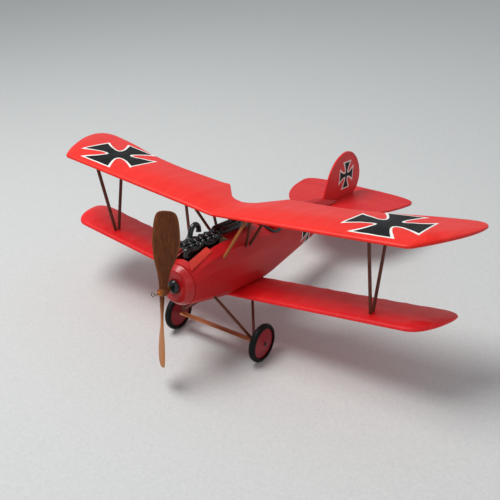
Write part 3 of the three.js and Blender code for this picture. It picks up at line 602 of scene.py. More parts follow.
def wing_top(wing, x, s, folds):
    front, back = wing["plan"](abs(x))
    chord = back - front
    taper = min(chord / wing["root_chord"], 1)
    rise = EDGE + (wing["thickness"] - EDGE) * camber(s) * taper
    sag = wing["sag"] * hollow(wing, abs(x)) * slack(s)
    y = front + s * chord
    buckle = sum(fold(x, y, *crease) for crease in folds) * min(6 * s, 8 * (1 - s), 1)
    return underside(wing, x, y) + rise - sag * taper + buckle


def wing_bottom(wing, x, s):
    sag = 0.7 * wing["sag"] * hollow(wing, abs(x)) * slack(s)
    front, back = wing["plan"](abs(x))
    return underside(wing, x, front + s * (back - front)) + sag


def chord_places(count):
    return [(1 - cos(pi * i / (count - 1))) / 2 for i in range(count)]


def wing_section(wing, x, folds):
    """The closed outline of a wing at one place along its span, with round edges."""
    front, back = wing["plan"](abs(x))
    chord = back - front
    radius = min(0.7 * EDGE, chord / 4)
    high, low = [], []
    for s in chord_places(34):
        depth = min(min(s, 1 - s) * chord / radius, 1)
        closing = EDGE / 2 * (1 - sqrt(1 - (1 - depth) ** 2))
        high.append((x, front + s * chord, wing_top(wing, x, s, folds) - closing))
        low.append((x, front + s * chord, wing_bottom(wing, x, s) + closing))
    return high + low[-2:0:-1]


def span_places(wing, start):
    """Places along a half wing: eight to a bay between the ribs, then closing up towards the round tip."""
    first, last, bays = wing["ribs"]
    pitch = (last - first) / bays
    rib = first + ceil((start - first) / pitch + 1e-6) * pitch
    rake, reach = wing["rake"], wing["half_span"] - wing["rake"]
    even = [rib + pitch * k / 8 for k in range(int((rake - rib) / pitch * 8) + 1)]
    return [start, *even, *[rake + reach * sin(pi / 2 * k / 26) for k in range(1, 27)]]


def wing_skin(wing, places, folds):
    return loft([wing_section(wing, x, folds) for x in places])


def wing_sheet(wing, places, folds, low, high):
    """A thin closed sheet that follows the wing's upper surface, between two heights over it."""
    rings = []
    for x in places:
        front, back = wing["plan"](abs(x))
        line = [(x, front + s * (back - front), wing_top(wing, x, s, folds)) for s in chord_places(40)]
        rings.append([(x, y, z + high) for x, y, z in line] + [(x, y, z + low) for x, y, z in line[::-1]])
    return loft(rings)


def add_wings(red):
    notch = [0.9 * k for k in range(50)]        # close together, for the corners of the cockpit notch
    half = notch + [x for x in span_places(UPPER, 0.0) if x > notch[-1] + 0.5]
    places = [-x for x in half[:0:-1]] + half
    piece("upper_wing_tissue", wing_skin(UPPER, places, UPPER_FOLDS), red["upper"], slot="red_tissue",
          crisp=60, replaces=("upper_wing_top_covering", "upper_wing_bottom_covering"))
    for name, side in SIDES:
        shape = wing_skin(LOWER, span_places(LOWER, LOWER["root"]), LOWER_FOLDS if side > 0 else [])
        piece(f"{name}_lower_wing_tissue", shape if side > 0 else mirrored(shape), red["lower"],
              slot="red_tissue", crisp=60,
              replaces=(f"{name}_lower_wing_top_covering", f"{name}_lower_wing_bottom_covering"))


# ---------- cross markings
def flared_cross(half_length, half_end, waist):
    """A plain cross whose four arms widen outwards on curved sides, as (u, v) pairs."""
    pull = 2 * waist - (half_end + half_length) / 2
    side = []
    for t in (k / 14 for k in range(15)):
        a, b, c = (1 - t) ** 2, 2 * t * (1 - t), t * t
        side.append((a * half_end + b * pull + c * half_length, a * half_length + b * pull + c * half_end))
    quarter_turns = ((1, 0), (0, -1), (-1, 0), (0, 1))
    return [(u * c - v * s, u * s + v * c) for c, s in quarter_turns for u, v in side]


def prism(outline, place, near, far):
    """The solid over an outline: place(u, v, height) gives each corner."""
    return loft([[place(u, v, height) for u, v in outline] for height in (near, far)])


def marking(name, sheet_between, place, near, far, size, films):
    """A white-edged black cross printed on film, lying on a surface."""
    half_length, half_end, waist, border = size
    layers = (("border", 0.02, 0.07, 0, 0, "white"), ("field", 0.075, 0.12, border, 2.4 * border, "black"))
    for layer, low, high, inset, corner, film in layers:
        outline = flared_cross(half_length - inset, half_end - corner, waist - inset)
        made = to_object(f"{name}_{layer}", sheet_between(low, high))
        combine(made, [prism(outline, place, near, far)], "INTERSECT")
        finish_piece(made, films[film], crisp=50)


# Half length, half width across an arm's end, how far the waist's curves are drawn in, and the border.
WING_CROSS, SIDE_CROSS = (34.3, 20.5, 9.4, 1.75), (16.2, 9.8, 3.8, 1.45)


def add_markings(films):
    """Crosses out along the upper wing, in the middle of the fin, and on the sides of the rear body."""
    wing_out, wing_aft, fin_aft, fin_up, body_aft, body_up = 152.8, 109.0, 321.0, 39.8, 223.5, 1.0
    for name, side in SIDES:
        places = [side * x for x in np.linspace(112, 194, 66)]
        marking(f"{name}_wing_cross", lambda low, high: wing_sheet(UPPER, places, UPPER_FOLDS, low, high),
                lambda u, v, h: (side * wing_out + u, wing_aft + v, h), 50, 100, WING_CROSS, films)
        marking(f"{name}_fin_cross", lambda low, high: fin_sheet(side, low, high),
                lambda u, v, h: (side * h, fin_aft + u, fin_up + v), 0, 5, SIDE_CROSS, films)
        marking(f"{name}_fuselage_cross", lambda low, high: body_sheet(side, low, high),
                lambda u, v, h: (side * h, body_aft + u, body_up + v), 1, 30, SIDE_CROSS, films)


# ---------- fuselage
BODY_FRONT, BODY_BACK = 25.3, 345.0
SHELL = 0.8                                     # thickness of the fuselage's skin
GAP = 0.3                                       # clearance between a piece and its neighbour
STOCK = 2.38                                    # 3/32 in square strip
body_half_width = through([(25.3, 19.2), (55, 21.4), (90, 22.2), (120, 21.6), (150, 19.8), (180, 17.6),
                           (235, 12.2), (270, 8.6), (300, 5.8), (345, 2.4)])
body_top = through([(25.3, 19.2), (55, 29.6), (90, 31.4), (120, 30.6), (150, 27.6), (178, 31.5),
                    (235, 28), (265, 23.8), (286, 18.8), (300, 15), (312, 13), (345, 11.8)])
body_bottom = through([(25.3, -19.2), (55, -24.5), (90, -29.6), (145, -31), (185, -25.4), (225, -18.8),
                       (265, -11.5), (300, -3.5), (345, 6.5)])
body_squareness = through([(25.3, 2), (55, 2.4), (150, 2.5), (235, 2.3), (345, 2)])
STRINGERS = 14
FACET_STEPS = 6
STRINGER_ANGLES = [2 * pi * (k + 0.5) / STRINGERS for k in range(STRINGERS)]


def body_point(y, angle, inset):
    top, bottom = body_top(y) - inset, body_bottom(y) + inset
    half_width, power = max(body_half_width(y) - inset, 0.2), 2 / body_squareness(y)
    return Vector((half_width * bend(cos(angle), power), y,
                   (top + bottom) / 2 + (top - bottom) / 2 * bend(sin(angle), power)))


def body_ring(y, inset=0.0):
    """One section: tissue pulled nearly flat from stringer to stringer."""
    flatness = 0.94 * clamp((y - BODY_FRONT) / 14)
    ring = []
    for angle in STRINGER_ANGLES:
        after = angle + 2 * pi / STRINGERS
        here, there = body_point(y, angle, inset), body_point(y, after, inset)
        for step in range(FACET_STEPS):
            t = step / FACET_STEPS
            round_point = body_point(y, angle + (after - angle) * t, inset)
            ring.append(round_point.lerp(here.lerp(there, t), flatness))
    return ring


def body_loft(inset=0.0, overrun=0.0):
    """The body's solid, drawn in by inset and run on past both ends by overrun."""
    stations = [BODY_FRONT - overrun, *range(28, 341, 4), BODY_BACK + overrun]
    return loft([body_ring(y, inset) for y in stations])


def deck_height(x, y):
    top, bottom, n = body_top(y), body_bottom(y), body_squareness(y)
    reach = min(abs(x) / body_half_width(y), 1)
    return (top + bottom) / 2 + (top - bottom) / 2 * (1 - reach ** n) ** (1 / n)


BAY = dict(half_width=10.5, front=31.5, back=82.8, bottom=9.0)
COCKPIT = dict(y=156.0, half_length=18.0, half_width=16.4, floor=2.0, rim=1.5)


def cockpit_plan(inset):
    """The cockpit hole in plan: a squarish oval."""
    return [((COCKPIT["half_width"] - inset) * bend(cos(angle), 0.8),
             COCKPIT["y"] + (COCKPIT["half_length"] - inset) * bend(sin(angle), 0.8))
            for angle in (2 * pi * i / 72 for i in range(72))]


def lower_wing_room():
    """The middle of the lower wing, grown by the gap."""
    rings = []
    for x in np.linspace(-60, 60, 25):
        front, back = LOWER["leading"] - GAP, lower_trailing(0) + GAP
        base = LOWER["bottom"] + LOWER["dihedral"] * abs(x)
        top = [(x, front + s * (back - front), base + EDGE + (LOWER["thickness"] - EDGE) * camber(s) + GAP)
               for s in chord_places(16)]
        rings.append([(x, y, base - 3) for _, y, _ in top[::-1]] + top)
    return loft(rings)


def add_fuselage(red):
    made = to_object("fuselage_tissue", body_loft())
    level = lambda u, v, h: (u, v, h)
    tailplane_room = plate_skin([x * 1.004 for x in TAIL_PLACES], tail_leading, tail_trailing,
                                TAIL["z"], STOCK / 2 + GAP)
    half_bay = BAY["half_width"]
    peg_hole = rod((-30, 287, 0), (30, 287, 0), 1.5, 24)
    combine(made, [body_loft(SHELL, overrun=1.0),
                   box((-half_bay, BAY["front"], BAY["bottom"]), (half_bay, BAY["back"], 60)),
                   prism(cockpit_plan(0), level, COCKPIT["floor"] + 3, 60),
                   lower_wing_room(), tailplane_room, peg_hole])
    finish_piece(made, red, slot="red_tissue", replaces=("fuselage_covering",), crisp=19)


def body_sheet(side, low, high):
    """A thin closed sheet on one side of the body, between two heights over it."""
    rings = []
    for y in np.linspace(203, 244, 42):
        outer, inner = body_ring(y, -high), body_ring(y, -low)
        order = [k for k in range(len(outer)) if side * outer[k].x > 0.3 * body_half_width(y)]
        order.sort(key=lambda k: outer[k].z)
        rings.append([outer[k] for k in order] + [inner[k] for k in reversed(order)])
    return loft(rings)


def add_coaming(material):
    """A tube pushed over the rim of the cockpit, a little uneven along its length."""
    rim = [(x, y, deck_height(x, y) - 0.1) for x, y in cockpit_plan(0.6)]
    radii = [COCKPIT["rim"] * (1 + 0.05 * sin(9 * i)) for i in range(len(rim))]
    piece("coaming_tube", tube(rim, radii, 18, looped=True), material, slot="black_plastic",
          replaces=("cockpit_coaming",), crisp=60)


# ---------- tail
TAIL = dict(z=12.5, half_span=71.5)
TAIL_RIBS = range(-60, 61, 15)
TAIL_PANEL, FIN_PANEL = 0.32, 0.28              # how deep the tissue lies between the outlines
FIN_TOP = 67.6
FIN_RIBS = (16, 27, 39, 51)
FRAME_WIDTH = 5.0                               # outline wood seen round the tissue panels
tail_leading = through([(0, 258), (25, 261), (40.5, 269.5), (54, 287.5), (64, 311.5), (69, 332),
                        (TAIL["half_span"], 349)])
FIN_FRONT = smooth_path([(0, 271.5, 8), (0, 272.7, 22), (0, 276, 33), (0, 282.2, 46.5), (0, 289.5, 56.2),
                         (0, 298.5, 62.4), (0, 308.5, 66.2), (0, 319, FIN_TOP), (0, 329, 65.8)])[:-8]
FIN_BACK = smooth_path([(0, 339, 8), (0, 343, 13), (0, 352, 21), (0, 355.5, 33), (0, 352.8, 44),
                        (0, 346, 54.2), (0, 338, 61.2), (0, 329, 65.8), (0, 319, FIN_TOP),
                        (0, 308.5, 66.2)])[:-8]


def tail_trailing(x):
    """A blunt superellipse."""
    return 349 + 22 * (1 - min(x / TAIL["half_span"], 1) ** 3.3) ** (1 / 3.3)


def upward(path):
    """y = f(z) along a path that rises in the plane of symmetry."""
    heights, places = [point.z for point in path], [point.y for point in path]
    return lambda z: float(np.interp(z, heights, places))


fin_leading, fin_trailing = upward(FIN_FRONT), upward(FIN_BACK)
HALF_TAIL = [TAIL["half_span"] * sin(pi / 2 * k / 46) for k in range(47)]
TAIL_PLACES = [-x for x in HALF_TAIL[:0:-1]] + HALF_TAIL
FIN_PLACES = [8 + (FIN_TOP - 8) * sin(pi / 2 * k / 50) for k in range(51)]


def panel_depth(x, s, leading, trailing, ribs, depth):
    """How far the tissue lies below the outline at a place on a tail surface."""
    front, back = leading(abs(x)), trailing(abs(x))
    chord = max(back - front, 1e-6)
    edge = min(s, 1 - s) * chord / FRAME_WIDTH
    inside = clamp((edge - 0.9) / 0.4)
    ridge = min(abs(x - rib) for rib in ribs)
    return depth * inside * min(0.35 + 0.65 * (ridge / 3.2), 1)


def plate_skin(places, leading, trailing, level, half, panel=0.0, ribs=(0,), framed_tips=True):
    """A flat tail surface: a rounded outline with the tissue drawn in between its ribs."""
    rings = []
    for x in places:
        front, back = leading(abs(x)), trailing(abs(x))
        chord = max(back - front, 0.02)
        radius = min(half * 0.8, chord / 3)
        rows = []
        within = clamp((TAIL["half_span"] - abs(x) - FRAME_WIDTH) / 2) if framed_tips else 1
        for s in chord_places(26):
            y = min(max(front + s * chord, front + radius), back - radius)
            rows.append((y, half - panel_depth(x, s, leading, trailing, ribs, panel) * within))
        rim = [(radius * (1 - cos(a)), half * sin(a)) for a in arc(-60, 61, 30)]
        ring = [(x, y, level - h) for y, h in rows[::-1]]
        ring += [(x, front + cut, level + h) for cut, h in rim]
        ring += [(x, y, level + h) for y, h in rows]
        ring += [(x, back - cut, level - h) for cut, h in rim]
        rings.append(ring)
    return loft(rings)


def upright(shape):
    """Turns a level shape to stand along the centre line: X becomes Z."""
    return [(z, y, x) for x, y, z in shape[0]], shape[1]


def fin_sheet(side, low, high):
    """A thin closed sheet on one side of the fin, between two heights over it."""
    rings = []
    for z in np.linspace(21, 59, 40):
        front, back = fin_leading(z), fin_trailing(z)
        line = []
        for s in np.linspace(0.02, 0.98, 60):
            depth = panel_depth(z, s, fin_leading, fin_trailing, FIN_RIBS, FIN_PANEL)
            line.append((STOCK / 2 - depth, front + s * (back - front), z))
        rings.append([(side * (x + high), y, h) for x, y, h in line]
                     + [(side * (x + low), y, h) for x, y, h in line[::-1]])
    return loft(rings)


def add_tail(red):
    tail = (TAIL_PLACES, tail_leading, tail_trailing, TAIL["z"])
    piece("tailplane_tissue", plate_skin(*tail, STOCK / 2, TAIL_PANEL, TAIL_RIBS), red, slot="red_tissue",
          replaces=("tailplane",), crisp=60)
    fin = plate_skin(FIN_PLACES, fin_leading, fin_trailing, 0, STOCK / 2, FIN_PANEL, FIN_RIBS,
                     framed_tips=False)
    made = to_object("fin_and_rudder_tissue", upright(fin))
    tail_room = plate_skin(*tail, STOCK / 2 + 0.1)
    combine(made, [body_loft(-0.1, overrun=0.4), tail_room])
    finish_piece(made, red, slot="red_tissue", replaces=("fin_and_rudder",), crisp=60)


# ---------- nose, propeller and motor
def add_nose(paint, black):
    bore = 4.6
    block = [(bore, 19.0), (6.8, 19.0), (7.0, 18.9), (14.2, 18.95), (14.9, 19.15), (15.4, 19.7), (17.9, 22.6),
             (18.5, 23.5), (18.85, 24.3), (18.75, 24.85), (17.6, 25.05), (17.0, 25.4), (17.0, 29.6),
             (bore, 29.6)]
    piece("nose_block_turned", turned(block, 96), paint, slot="red_paint", replaces=("nose_block",), crisp=30)
    dome = [(5.9 * sin(a) + 0.1, 17.6 - 3.0 * cos(a)) for a in arc(22, 91, 8)]
    button = [(0.56, 14.4), (1.5, 14.4), (1.85, 14.6), (2.0, 15.0), *dome, (6.3, 17.9), (6.35, 18.3),
              (6.1, 18.7), (4.3, 18.7), (4.3, 29.0), (0.56, 29.0)]
    piece("nose_button_moulded", turned(button, 64), black, slot="black_plastic", replaces=("nose_button",))


BLADE_RADIUS, BLADE_PLACE = 73.025, 4.6         # tip radius of the 5 3/4 in propeller, and how far aft it is
blade_chord = through([(4, 7.8), (12, 9.6), (20, 12.6), (30, 18.8), (40, 22.4), (48, 23.2), (58, 22.2),
                       (65, 20.4), (69.5, 17.6), (72, 13.5), (BLADE_RADIUS, 7)])
blade_angle = through([(4, 66), (22, 50), (40, 40), (55, 34.5), (BLADE_RADIUS, 31)])
blade_shift = through([(4, 0), (20, 0.6), (40, 2), (BLADE_RADIUS, 2)])


def blade_shape():
    """One blade from root to tip: cambered sections that flatten outwards, with a squarish round tip."""
    section = [(-0.5, 0.08), (-0.46, 0.3), (-0.36, 0.58), (-0.2, 0.76), (0, 0.8), (0.2, 0.66), (0.36, 0.42),
               (0.46, 0.2), (0.5, 0.04), (0.47, -0.08), (0.3, -0.18), (0, -0.22), (-0.3, -0.16),
               (-0.47, -0.04)]
    rings = []
    for k in range(49):
        radius = 3 + (BLADE_RADIUS - 3) * sin(pi / 2 * k / 48)
        angle = radians(blade_angle(radius))
        c, s = cos(angle), sin(angle)
        thickness = 4.4 + (1.3 - 4.4) * sqrt(radius / BLADE_RADIUS)
        line = [(u * blade_chord(radius) + blade_shift(radius), v * thickness) for u, v in section]
        rings.append([(a * c + out * s, BLADE_PLACE + a * s - out * c, radius) for a, out in line])
    return loft(rings)


def add_propeller(wood_finish, steel, bead_brass, bush_brass):
    hub = turned([(0.01, 0.8), (3.2, 0.8), (3.7, 1.1), (4.1, 2.0), (4.2, 4.6), (4.1, 7.6), (3.7, 8.5),
                  (3.2, 8.8), (0.01, 8.8)])
    made = to_object("propeller_carved", hub)
    blade = blade_shape()
    half_turn = Matrix.Rotation(pi, 4, "Y")
    combine(made, [blade, moved(blade, half_turn)], "UNION")
    combine(made, [rod((0, -20, 0), (0, 20, 0), 0.65, 24)])
    finish_piece(made, wood_finish, body="propeller", slot="propeller_wood", replaces=("propeller",),
                 crisp=40)
    loop = [(-2.3 + 1.8 * cos(a), -5.6 - 0.02 * i, 1.8 * sin(a))
            for i, a in enumerate(0.162 * pi * k for k in range(11))]
    hook = [(0, 37.6 + 3 * cos(a), 3 * sin(a))
            for a in (pi * (0.82 - k / 8 * 1.5) for k in range(9))]
    straight = [(0, y, 0) for y in (-4.2, -2.6, 12, 30.5, 32.6)]
    piece("propeller_wire", tube(smooth_path([*loop[::-1], *straight, *hook], 6), 0.5, 14), steel,
          body="propeller", slot="steel_wire", replaces=("propeller_shaft",), crisp=60)
    bead = [(0.65, 9.2), (2.2, 9.2), (2.4, 9.4), (2.4, 9.8), (1.85, 10.1), (2.1, 10.7), (2.4, 11.4),
            (2.4, 12.4), (2.1, 13.1), (1.5, 13.8), (0.65, 13.9)]
    piece("thrust_bead_turned", turned(bead, 40), bead_brass, body="propeller", slot="brass",
          replaces=("thrust_bead",), crisp=50)
    bush = [(0.6, -1.7), (1.25, -1.7), (1.45, -1.5), (1.5, -0.2), (2.1, 0.0), (2.15, 0.75), (0.6, 0.78)]
    piece("propeller_bush", turned(bush, 32), bush_brass, body="propeller", slot="brass", crisp=40)


def add_rubber_motor(rubber_finish):
    """One loop of strip rubber, doubled and wound a few turns, from the hook to the peg."""
    front, back, turns = 41.8, 284.0, 9
    strands = []
    for strand in range(4):
        path = []
        for k in range(161):
            t = k / 160
            angle = 2 * pi * turns * t + strand * pi / 2
            path.append((1.15 * cos(angle), front + (back - front) * t, 1.15 * sin(angle)))
        strands.append(tube(path, 0.62, 8))
    piece("rubber_motor_strands", merge(strands), rubber_finish, slot="tan_rubber",
          replaces=("rubber_motor",))


# ---------- wheels
def add_wheels(tyre, paint, dark):
    """A moulded tyre with a mould line round a coned disc, with a small washer in its middle."""
    out, aft, up = 50.7, 86.3, -65.1
    tread = [(15.9 + 3.0 * cos(a), 3.4 * sin(a)) for a in arc(10, 81, 10)]
    half_tyre = [(18.86, 0.22), *tread, (15.0, 3.1)]
    rounded = [(r, -a) for r, a in half_tyre[::-1]] + [(18.89, 0)] + half_tyre
    half_disc = [(14.68, 1.9), (14.3, 2.1), (12.5, 2.25), (8.5, 2.6), (4.5, 3.1), (2.7, 3.4), (2.2, 3.6),
                 (1.3, 3.85), (0.86, 3.85)]
    disc = [(r, -a) for r, a in half_disc[::-1]] + half_disc
    washer = [(0.9, 3.9), (1.9, 3.9), (2.0, 4.02), (1.9, 4.16), (0.9, 4.16)]
    for name, side in SIDES:
        centre = (side * out, aft, up)
        piece(f"{name}_tyre_moulded", turned(rounded, 96, centre, "X"), tyre, body=f"{name}_wheel",
              slot="black_rubber", replaces=(f"{name}_tyre",), crisp=50)
        piece(f"{name}_disc_turned", turned(disc, 96, centre, "X"), paint, body=f"{name}_wheel",
              slot="red_paint", replaces=(f"{name}_wheel_disc",), crisp=40)
        ring = turned([(r, side * a) for r, a in washer], 32, centre, "X")
        piece(f"{name}_hub_washer", ring, dark, body=f"{name}_wheel", slot="black_plastic", crisp=40)


# ---------- engine and guns
ENGINE = dict(front=32.0, back=80.0, half_width=7.0, bottom=8.3, deck=19.0, head=33.2)
CYLINDERS = [36.0 + 8.0 * k for k in range(6)]


def crankcase_shape():
    half, bottom, deck = ENGINE["half_width"], ENGINE["bottom"], ENGINE["deck"]
    section = [(-half, deck - 4), (-half + 2.4, deck), (half - 2.4, deck), (half, deck - 4),
               (half - 1.5, bottom), (-half + 1.5, bottom)]
    nose = [(x * 0.55, ENGINE["front"] - 1.8, 14 + (z - 14) * 0.55) for x, z in section]
    body = loft([nose, *[[(x, ENGINE[end], z) for x, z in section] for end in ("front", "back")]])
    flange = box((-half - 0.7, 32.6, 14.0), (half + 0.7, 79.4, 15.2))
    webs = [box((side * 4 - 3.2, y - 0.4, 9), (side * 4 + 3.2, y + 0.4, 18.2))
            for y in (40, 48, 56, 64, 72) for side in (-1, 1)]
    return merge([body, flange, *webs])


def cylinder_shape(y):
    """A cylinder with its foot flange, water jacket and domed head."""
    deck, head = ENGINE["deck"], ENGINE["head"]
    profile = [(0.01, deck + GAP), (4.3, deck + GAP), (4.3, deck + 1.1), (3.4, deck + 1.5), (3.4, deck + 2.6),
               (3.8, deck + 3.4), (3.95, deck + 4.4), (3.95, head - 4), (4.3, head - 3.6), (4.4, head - 2.9),
               (3.9, head - 2.4), (3.2, head - 1.8), (0.01, head - 1.6)]
    return turned(profile, 32, (0, y, 0), "Z")


def spring_shape(x, y, z0, z1):
    """A moulded valve spring: a ribbed post under a round cap."""
    ribs = [(1.35 - 0.25 * (k % 2), z0 + (z1 - z0) * k / 6) for k in range(7)]
    cap = [(1.6, z1), (1.6, z1 + 0.5), (0.9, z1 + 1.0), (0.01, z1 + 1.0)]
    return turned([(0.01, z0), *ribs, *cap], 20, (x, y, 0), "Z")


def valve_gear_shape(y):
    """Two valve springs with their rockers: the starboard one is a long fat bar."""
    head = ENGINE["head"]
    springs = [spring_shape(side * 4.2, y, head - 2.4, head + 0.9) for side in (-1, 1)]
    bar = tube([(-7.0, y, head + 1.2), (-6.8, y, head + 1.3), (-0.8, y, head + 3.3), (-0.6, y, head + 3.4)],
               [0.7, 1.35, 1.25, 0.6], 16)
    rocker = smooth_path([(1.2, y, head + 3.1), (2.7, y, head + 2.9), (4.3, y, head + 1.9)], 4)
    return merge([*springs, bar, tube(rocker, [0.8] * 8 + [1.0], 12)])


def camshaft_shape():
    z = ENGINE["head"] + GAP + 1.3
    pipe = turned([(0.01, 31), (0.9, 31), (1.3, 31.5), (1.3, 80.5), (0.9, 81), (0.01, 81)], 24, (0, 0, z))
    boxes = [box((-2.3, y - 1.6, z - 1.3), (2.3, y + 1.6, z + 1.45)) for y in CYLINDERS]
    return merge([pipe, *boxes])


def exhaust_shape():
    """A log manifold on the starboard side whose aft end loops up and over, open at its mouth."""
    route = [(33.5, 31.8), (44, 32.4), (48.6, 35.6), (50, 40.4), (52.6, 44.2), (56, 45.6), (59.4, 43.9),
             (61, 40.8), (61.3, 37.8)]
    run = smooth_path([(-8.2, y, z) for y, z in route], 6)
    radii = [2.4] * (len(run) - 2) + [2.7, 2.7]
    stubs = [rod((-3.6, y, 32.2), (-7.4, y, 32.2), 1.2, 12) for y in CYLINDERS[:2]]
    return merge([tube(run, radii, 20, bore=0.72), *stubs])


def intake_shape():
    """Two bowed pipes on the port side, one for each bank of three cylinders."""
    bow = ((4.4, 0, 4.0), (5.4, 1.8, 2.0), (6.2, 5.0, 0.5), (6.4, 10.0, 0), (6.2, 15.0, 0.2),
           (5.4, 18.2, 1.0), (4.4, 19.8, 2.4))
    pipes = []
    for start, bottom in ((29.0, 30.4), (51.4, 30.0)):
        pipes.append(tube(smooth_path([(x, start + y, bottom + z) for x, y, z in bow], 6), 1.35, 16))
        pipes += [rod((3.4, y, bottom + 0.5), (6.2, y, bottom + 0.1), 0.9, 10)
                  for y in (start + 5, start + 10, start + 15)]
    return merge(pipes)


def add_engine(black):
    piece("engine_crankcase_moulded", crankcase_shape(), black, slot="black_plastic",
          replaces=("engine_crankcase",), bevel=0.15)
    for bank, name in enumerate(("front", "rear")):
        places = CYLINDERS[3 * bank:3 * bank + 3]
        plate = box((-5.3, places[0] - 3.5, 30.3), (5.3, places[2] + 3.5, 31.3))
        piece(f"{name}_cylinders_moulded", merge([*map(cylinder_shape, places), plate]), black,
              slot="black_plastic", replaces=(f"{name}_cylinder_bank",), crisp=40)
        piece(f"{name}_valve_gear", merge([valve_gear_shape(y) for y in places]), black, slot="black_plastic")
    piece("camshaft_housing", camshaft_shape(), black, slot="black_plastic", replaces=("camshaft_cover",),
          bevel=0.12)
    piece("exhaust_pipe", exhaust_shape(), black, slot="black_plastic", replaces=("exhaust_manifold",))
    piece("intake_pipe", intake_shape(), black, slot="black_plastic")


def gun_shape(x):
    """A barrel in a grooved jacket, a receiver with its cocking lever, and a sight."""
    z, shell = 36.0, 3.2
    jacket = [(0.01, 77.2), (2.0, 77.2), (2.3, 78.4), (shell, 80.6)]
    for y in (87.4, 93.2, 99.0):
        jacket += [(shell, y - 0.5), (shell - 0.35, y - 0.3), (shell - 0.35, y + 0.3), (shell, y + 0.5)]
    receiver = box((x - 2.5, 103.5, 32.2), (x + 2.5, 127, z + 2.9))
    cover = box((x - 1.7, 104.5, z + 2.7), (x + 1.7, 124, z + 3.5))
    sight = box((x - 0.25, 121, z + 3.3), (x + 0.25, 121.6, z + 5.4))
    back_plate = box((x - 2.2, 126.8, 33.2), (x + 2.2, 128, z + 2))
    lever = [rod((x + 2.2, 118, z), (x + 3.5, 118, z), 0.5, 10),
             rod((x + 3.3, 118, z), (x + 3.3, 121.5, z + 1.4), 0.38, 8)]
    return merge([turned([*jacket, (shell, 104), (0.01, 104)], 32, (x, 0, z)), receiver, cover, sight,
                  back_plate, *lever])


def add_guns(material):
    for name, side in SIDES:
        piece(f"{name}_gun_moulded", gun_shape(side * 4.5), material, slot="black_plastic",
              replaces=(f"{name}_machine_gun",), crisp=30)


# ---------- carried-over CAD nodes
def long_axis(node):
    """The direction a CAD node is longest in."""
    points = np.array([vertex.co for vertex in frame["nodes"][node].data.vertices])
    return Vector(np.linalg.svd(points - points.mean(0), full_matrices=False)[2][0])


def dress(node, material, bevel=0.0):
    shade(frame["nodes"][node], material, bevel=bevel)


def dress_frame(paint, tissue):
    stained, tan = ((112, 54, 32), (64, 26, 16)), ((182, 110, 54), (120, 64, 30))
    pale, raw = ((214, 190, 148), (188, 158, 112)), (0.7, 0.85)
    for name, _ in SIDES:
        # The cheeks take the lighter copy of the enamel: painted light on their lit faces.
        dress(f"{name}_cowl_cheek", paint, 0.2)
        for kind in ("front_interplane", "rear_interplane", "front_cabane", "diagonal_cabane", "rear_cabane",
                     "front_gear", "rear_gear"):
            node = f"{name}_{kind}_strut"
            # The port front cabane strut is the same wood in a paler tan: a painted highlight where it
            # catches the light.
            light, dark = tan if kind == "front_cabane" and name == "port" else stained
            dress(node, wood(f"{node}_wood", light, dark, long_axis(node)), 0.25)
    dress("tail_skid", wood("skid_wood", *stained, long_axis("tail_skid")), 0.3)
    dress("motor_peg", wood("peg_wood", *stained, PORT), 0.2)
    dress("spreader_bar", wood("spreader_wood", (178, 106, 58), (112, 62, 34), PORT), 0.25)
    for node in ("upper_wing_frame", "port_lower_wing_frame", "starboard_lower_wing_frame"):
        dress(node, wood(f"{node}_balsa", *pale, PORT, raw))
    for node in ("port_side_keel", "starboard_side_keel", "engine_bay_floor"):
        dress(node, wood(f"{node}_balsa", *pale, AFT, raw), 0.1)
    for node in ("nose_former", "firewall_former", "wing_former", "rear_former"):
        dress(node, wood(f"{node}_balsa", *pale, UP, raw), 0.1)
    # A red stain on the cockpit floor and the bulkhead behind it, kept bright as painted light for the lit
    # red inside of the cockpit.
    dress("cockpit_floor", wood("cockpit_floor_red_painted_light", (232, 34, 34), (208, 22, 28), AFT, (0.5, 0.7)), 0.1)
    dress("cockpit_former", wood("cockpit_former_red_painted_light", (236, 32, 36), (212, 22, 30), UP, (0.5, 0.7)), 0.1)
    dress("axle", metal("axle_steel", (118, 112, 106), (70, 66, 62), PORT), 0.1)
    dress("ventral_fin", tissue, 0.4)


# ---------- studio
def add_floor():
    size = 6.0
    mesh = bpy.data.meshes.new("studio_floor")
    corners = [(-size, -size, 0), (size, -size, 0), (size, size, 0), (-size, size, 0)]
    mesh.from_pydata(corners, [], [(0, 1, 2, 3)])
    mesh.materials.append(floor_paper("paper"))
    made = add_object("studio_floor", mesh)


def add_light(name, place, aim, size, power, colour):
    data = bpy.data.lights.new(name, "AREA")
    data.shape, data.size, data.energy, data.color = "DISK", size, power, colour
    made = add_object(name, data)
    made.location = place
    made.rotation_euler = (Vector(aim) - Vector(place)).to_track_quat("-Z", "Y").to_euler()


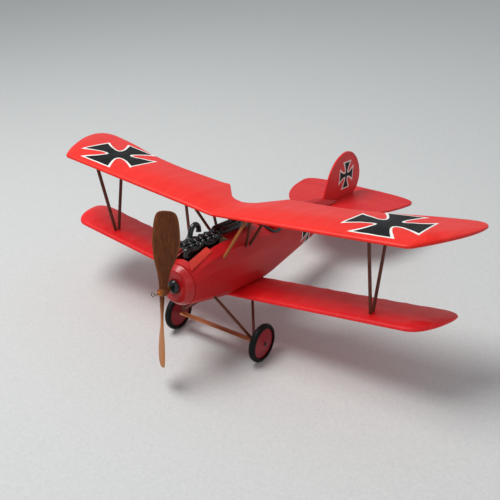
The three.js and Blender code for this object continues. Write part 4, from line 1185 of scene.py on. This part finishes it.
def add_studio():
    SCENE.view_settings.view_transform = "Standard"
    add_floor()
    world = bpy.data.worlds.new("studio")
    SCENE.world = world
    world.use_nodes = True
    background = world.node_tree.nodes["Background"]
    background.inputs["Color"].default_value = (0.95, 0.97, 1.0, 1)
    background.inputs["Strength"].default_value = 0.45
    add_light("overhead", (-0.42, -0.33, 1.5), (0, -0.02, 0.05), 0.85, 19.5, (1.0, 0.985, 0.965))
    add_light("front_fill", (1.3, -1.5, 1.1), (0, 0, 0.08), 1.2, 2, (1.0, 0.98, 0.97))


# ---------- build
def main():
    add_camera()
    red = {"upper": red_tissue("upper_wing_red", (238, 36, 20), (222, 26, 18), ribs=(0.0, 18.82),
                               painted_sheen_band=(88, 118)),
           # A lighter copy of the same red tissue for the lower wings: painted light where the upper wing
           # shades them.
           "lower": red_tissue("lower_wing_red_painted_light", (246, 30, 32), (224, 20, 32), ribs=(4.0, 19.9),
                               painted_sheen_band=(108, 130))}
    body_red = red_tissue("fuselage_red", (206, 26, 28), (176, 18, 26), AFT)
    tail_red = red_tissue("tail_red", (222, 34, 36), (198, 24, 30))
    paint = red_paint("red_enamel", (200, 26, 26), (164, 16, 24))
    # A lighter copy of the red enamel for the cowl cheeks: painted light on their lit faces.
    lit_cheek_paint = red_paint("cheek_enamel_painted_light", (236, 66, 52), (214, 46, 40))
    disc_paint = red_paint("disc_enamel", (160, 16, 34), (128, 12, 28))
    gloss = black_plastic("gloss_black")
    satin = black_plastic("satin_black", (0.26, 0.42), (34, 35, 37), (16, 17, 19))
    films = {"white": decal_film("white_film", (244, 244, 240), (226, 226, 222)),
             "black": decal_film("black_film", (24, 26, 26), (12, 13, 14))}
    add_fuselage(body_red)
    add_coaming(satin)
    add_nose(paint, gloss)
    add_propeller(propeller_wood("carved_wood"), metal("wire_steel", (150, 132, 112), (84, 70, 56)),
                  metal("bead_brass", (120, 82, 42), (66, 44, 24)),
                  metal("bush_brass", (232, 150, 72), (170, 96, 40)))
    add_rubber_motor(rubber_strip("tan_strip"))
    add_engine(gloss)
    add_guns(black_plastic("gun_black", (0.34, 0.5), (13, 14, 15), (6, 7, 8)))
    add_wings(red)
    add_tail(tail_red)
    add_markings(films)
    add_wheels(rubber("tyre_rubber"), disc_paint, satin)
    dress_frame(lit_cheek_paint, tail_red)
    add_studio()


main()
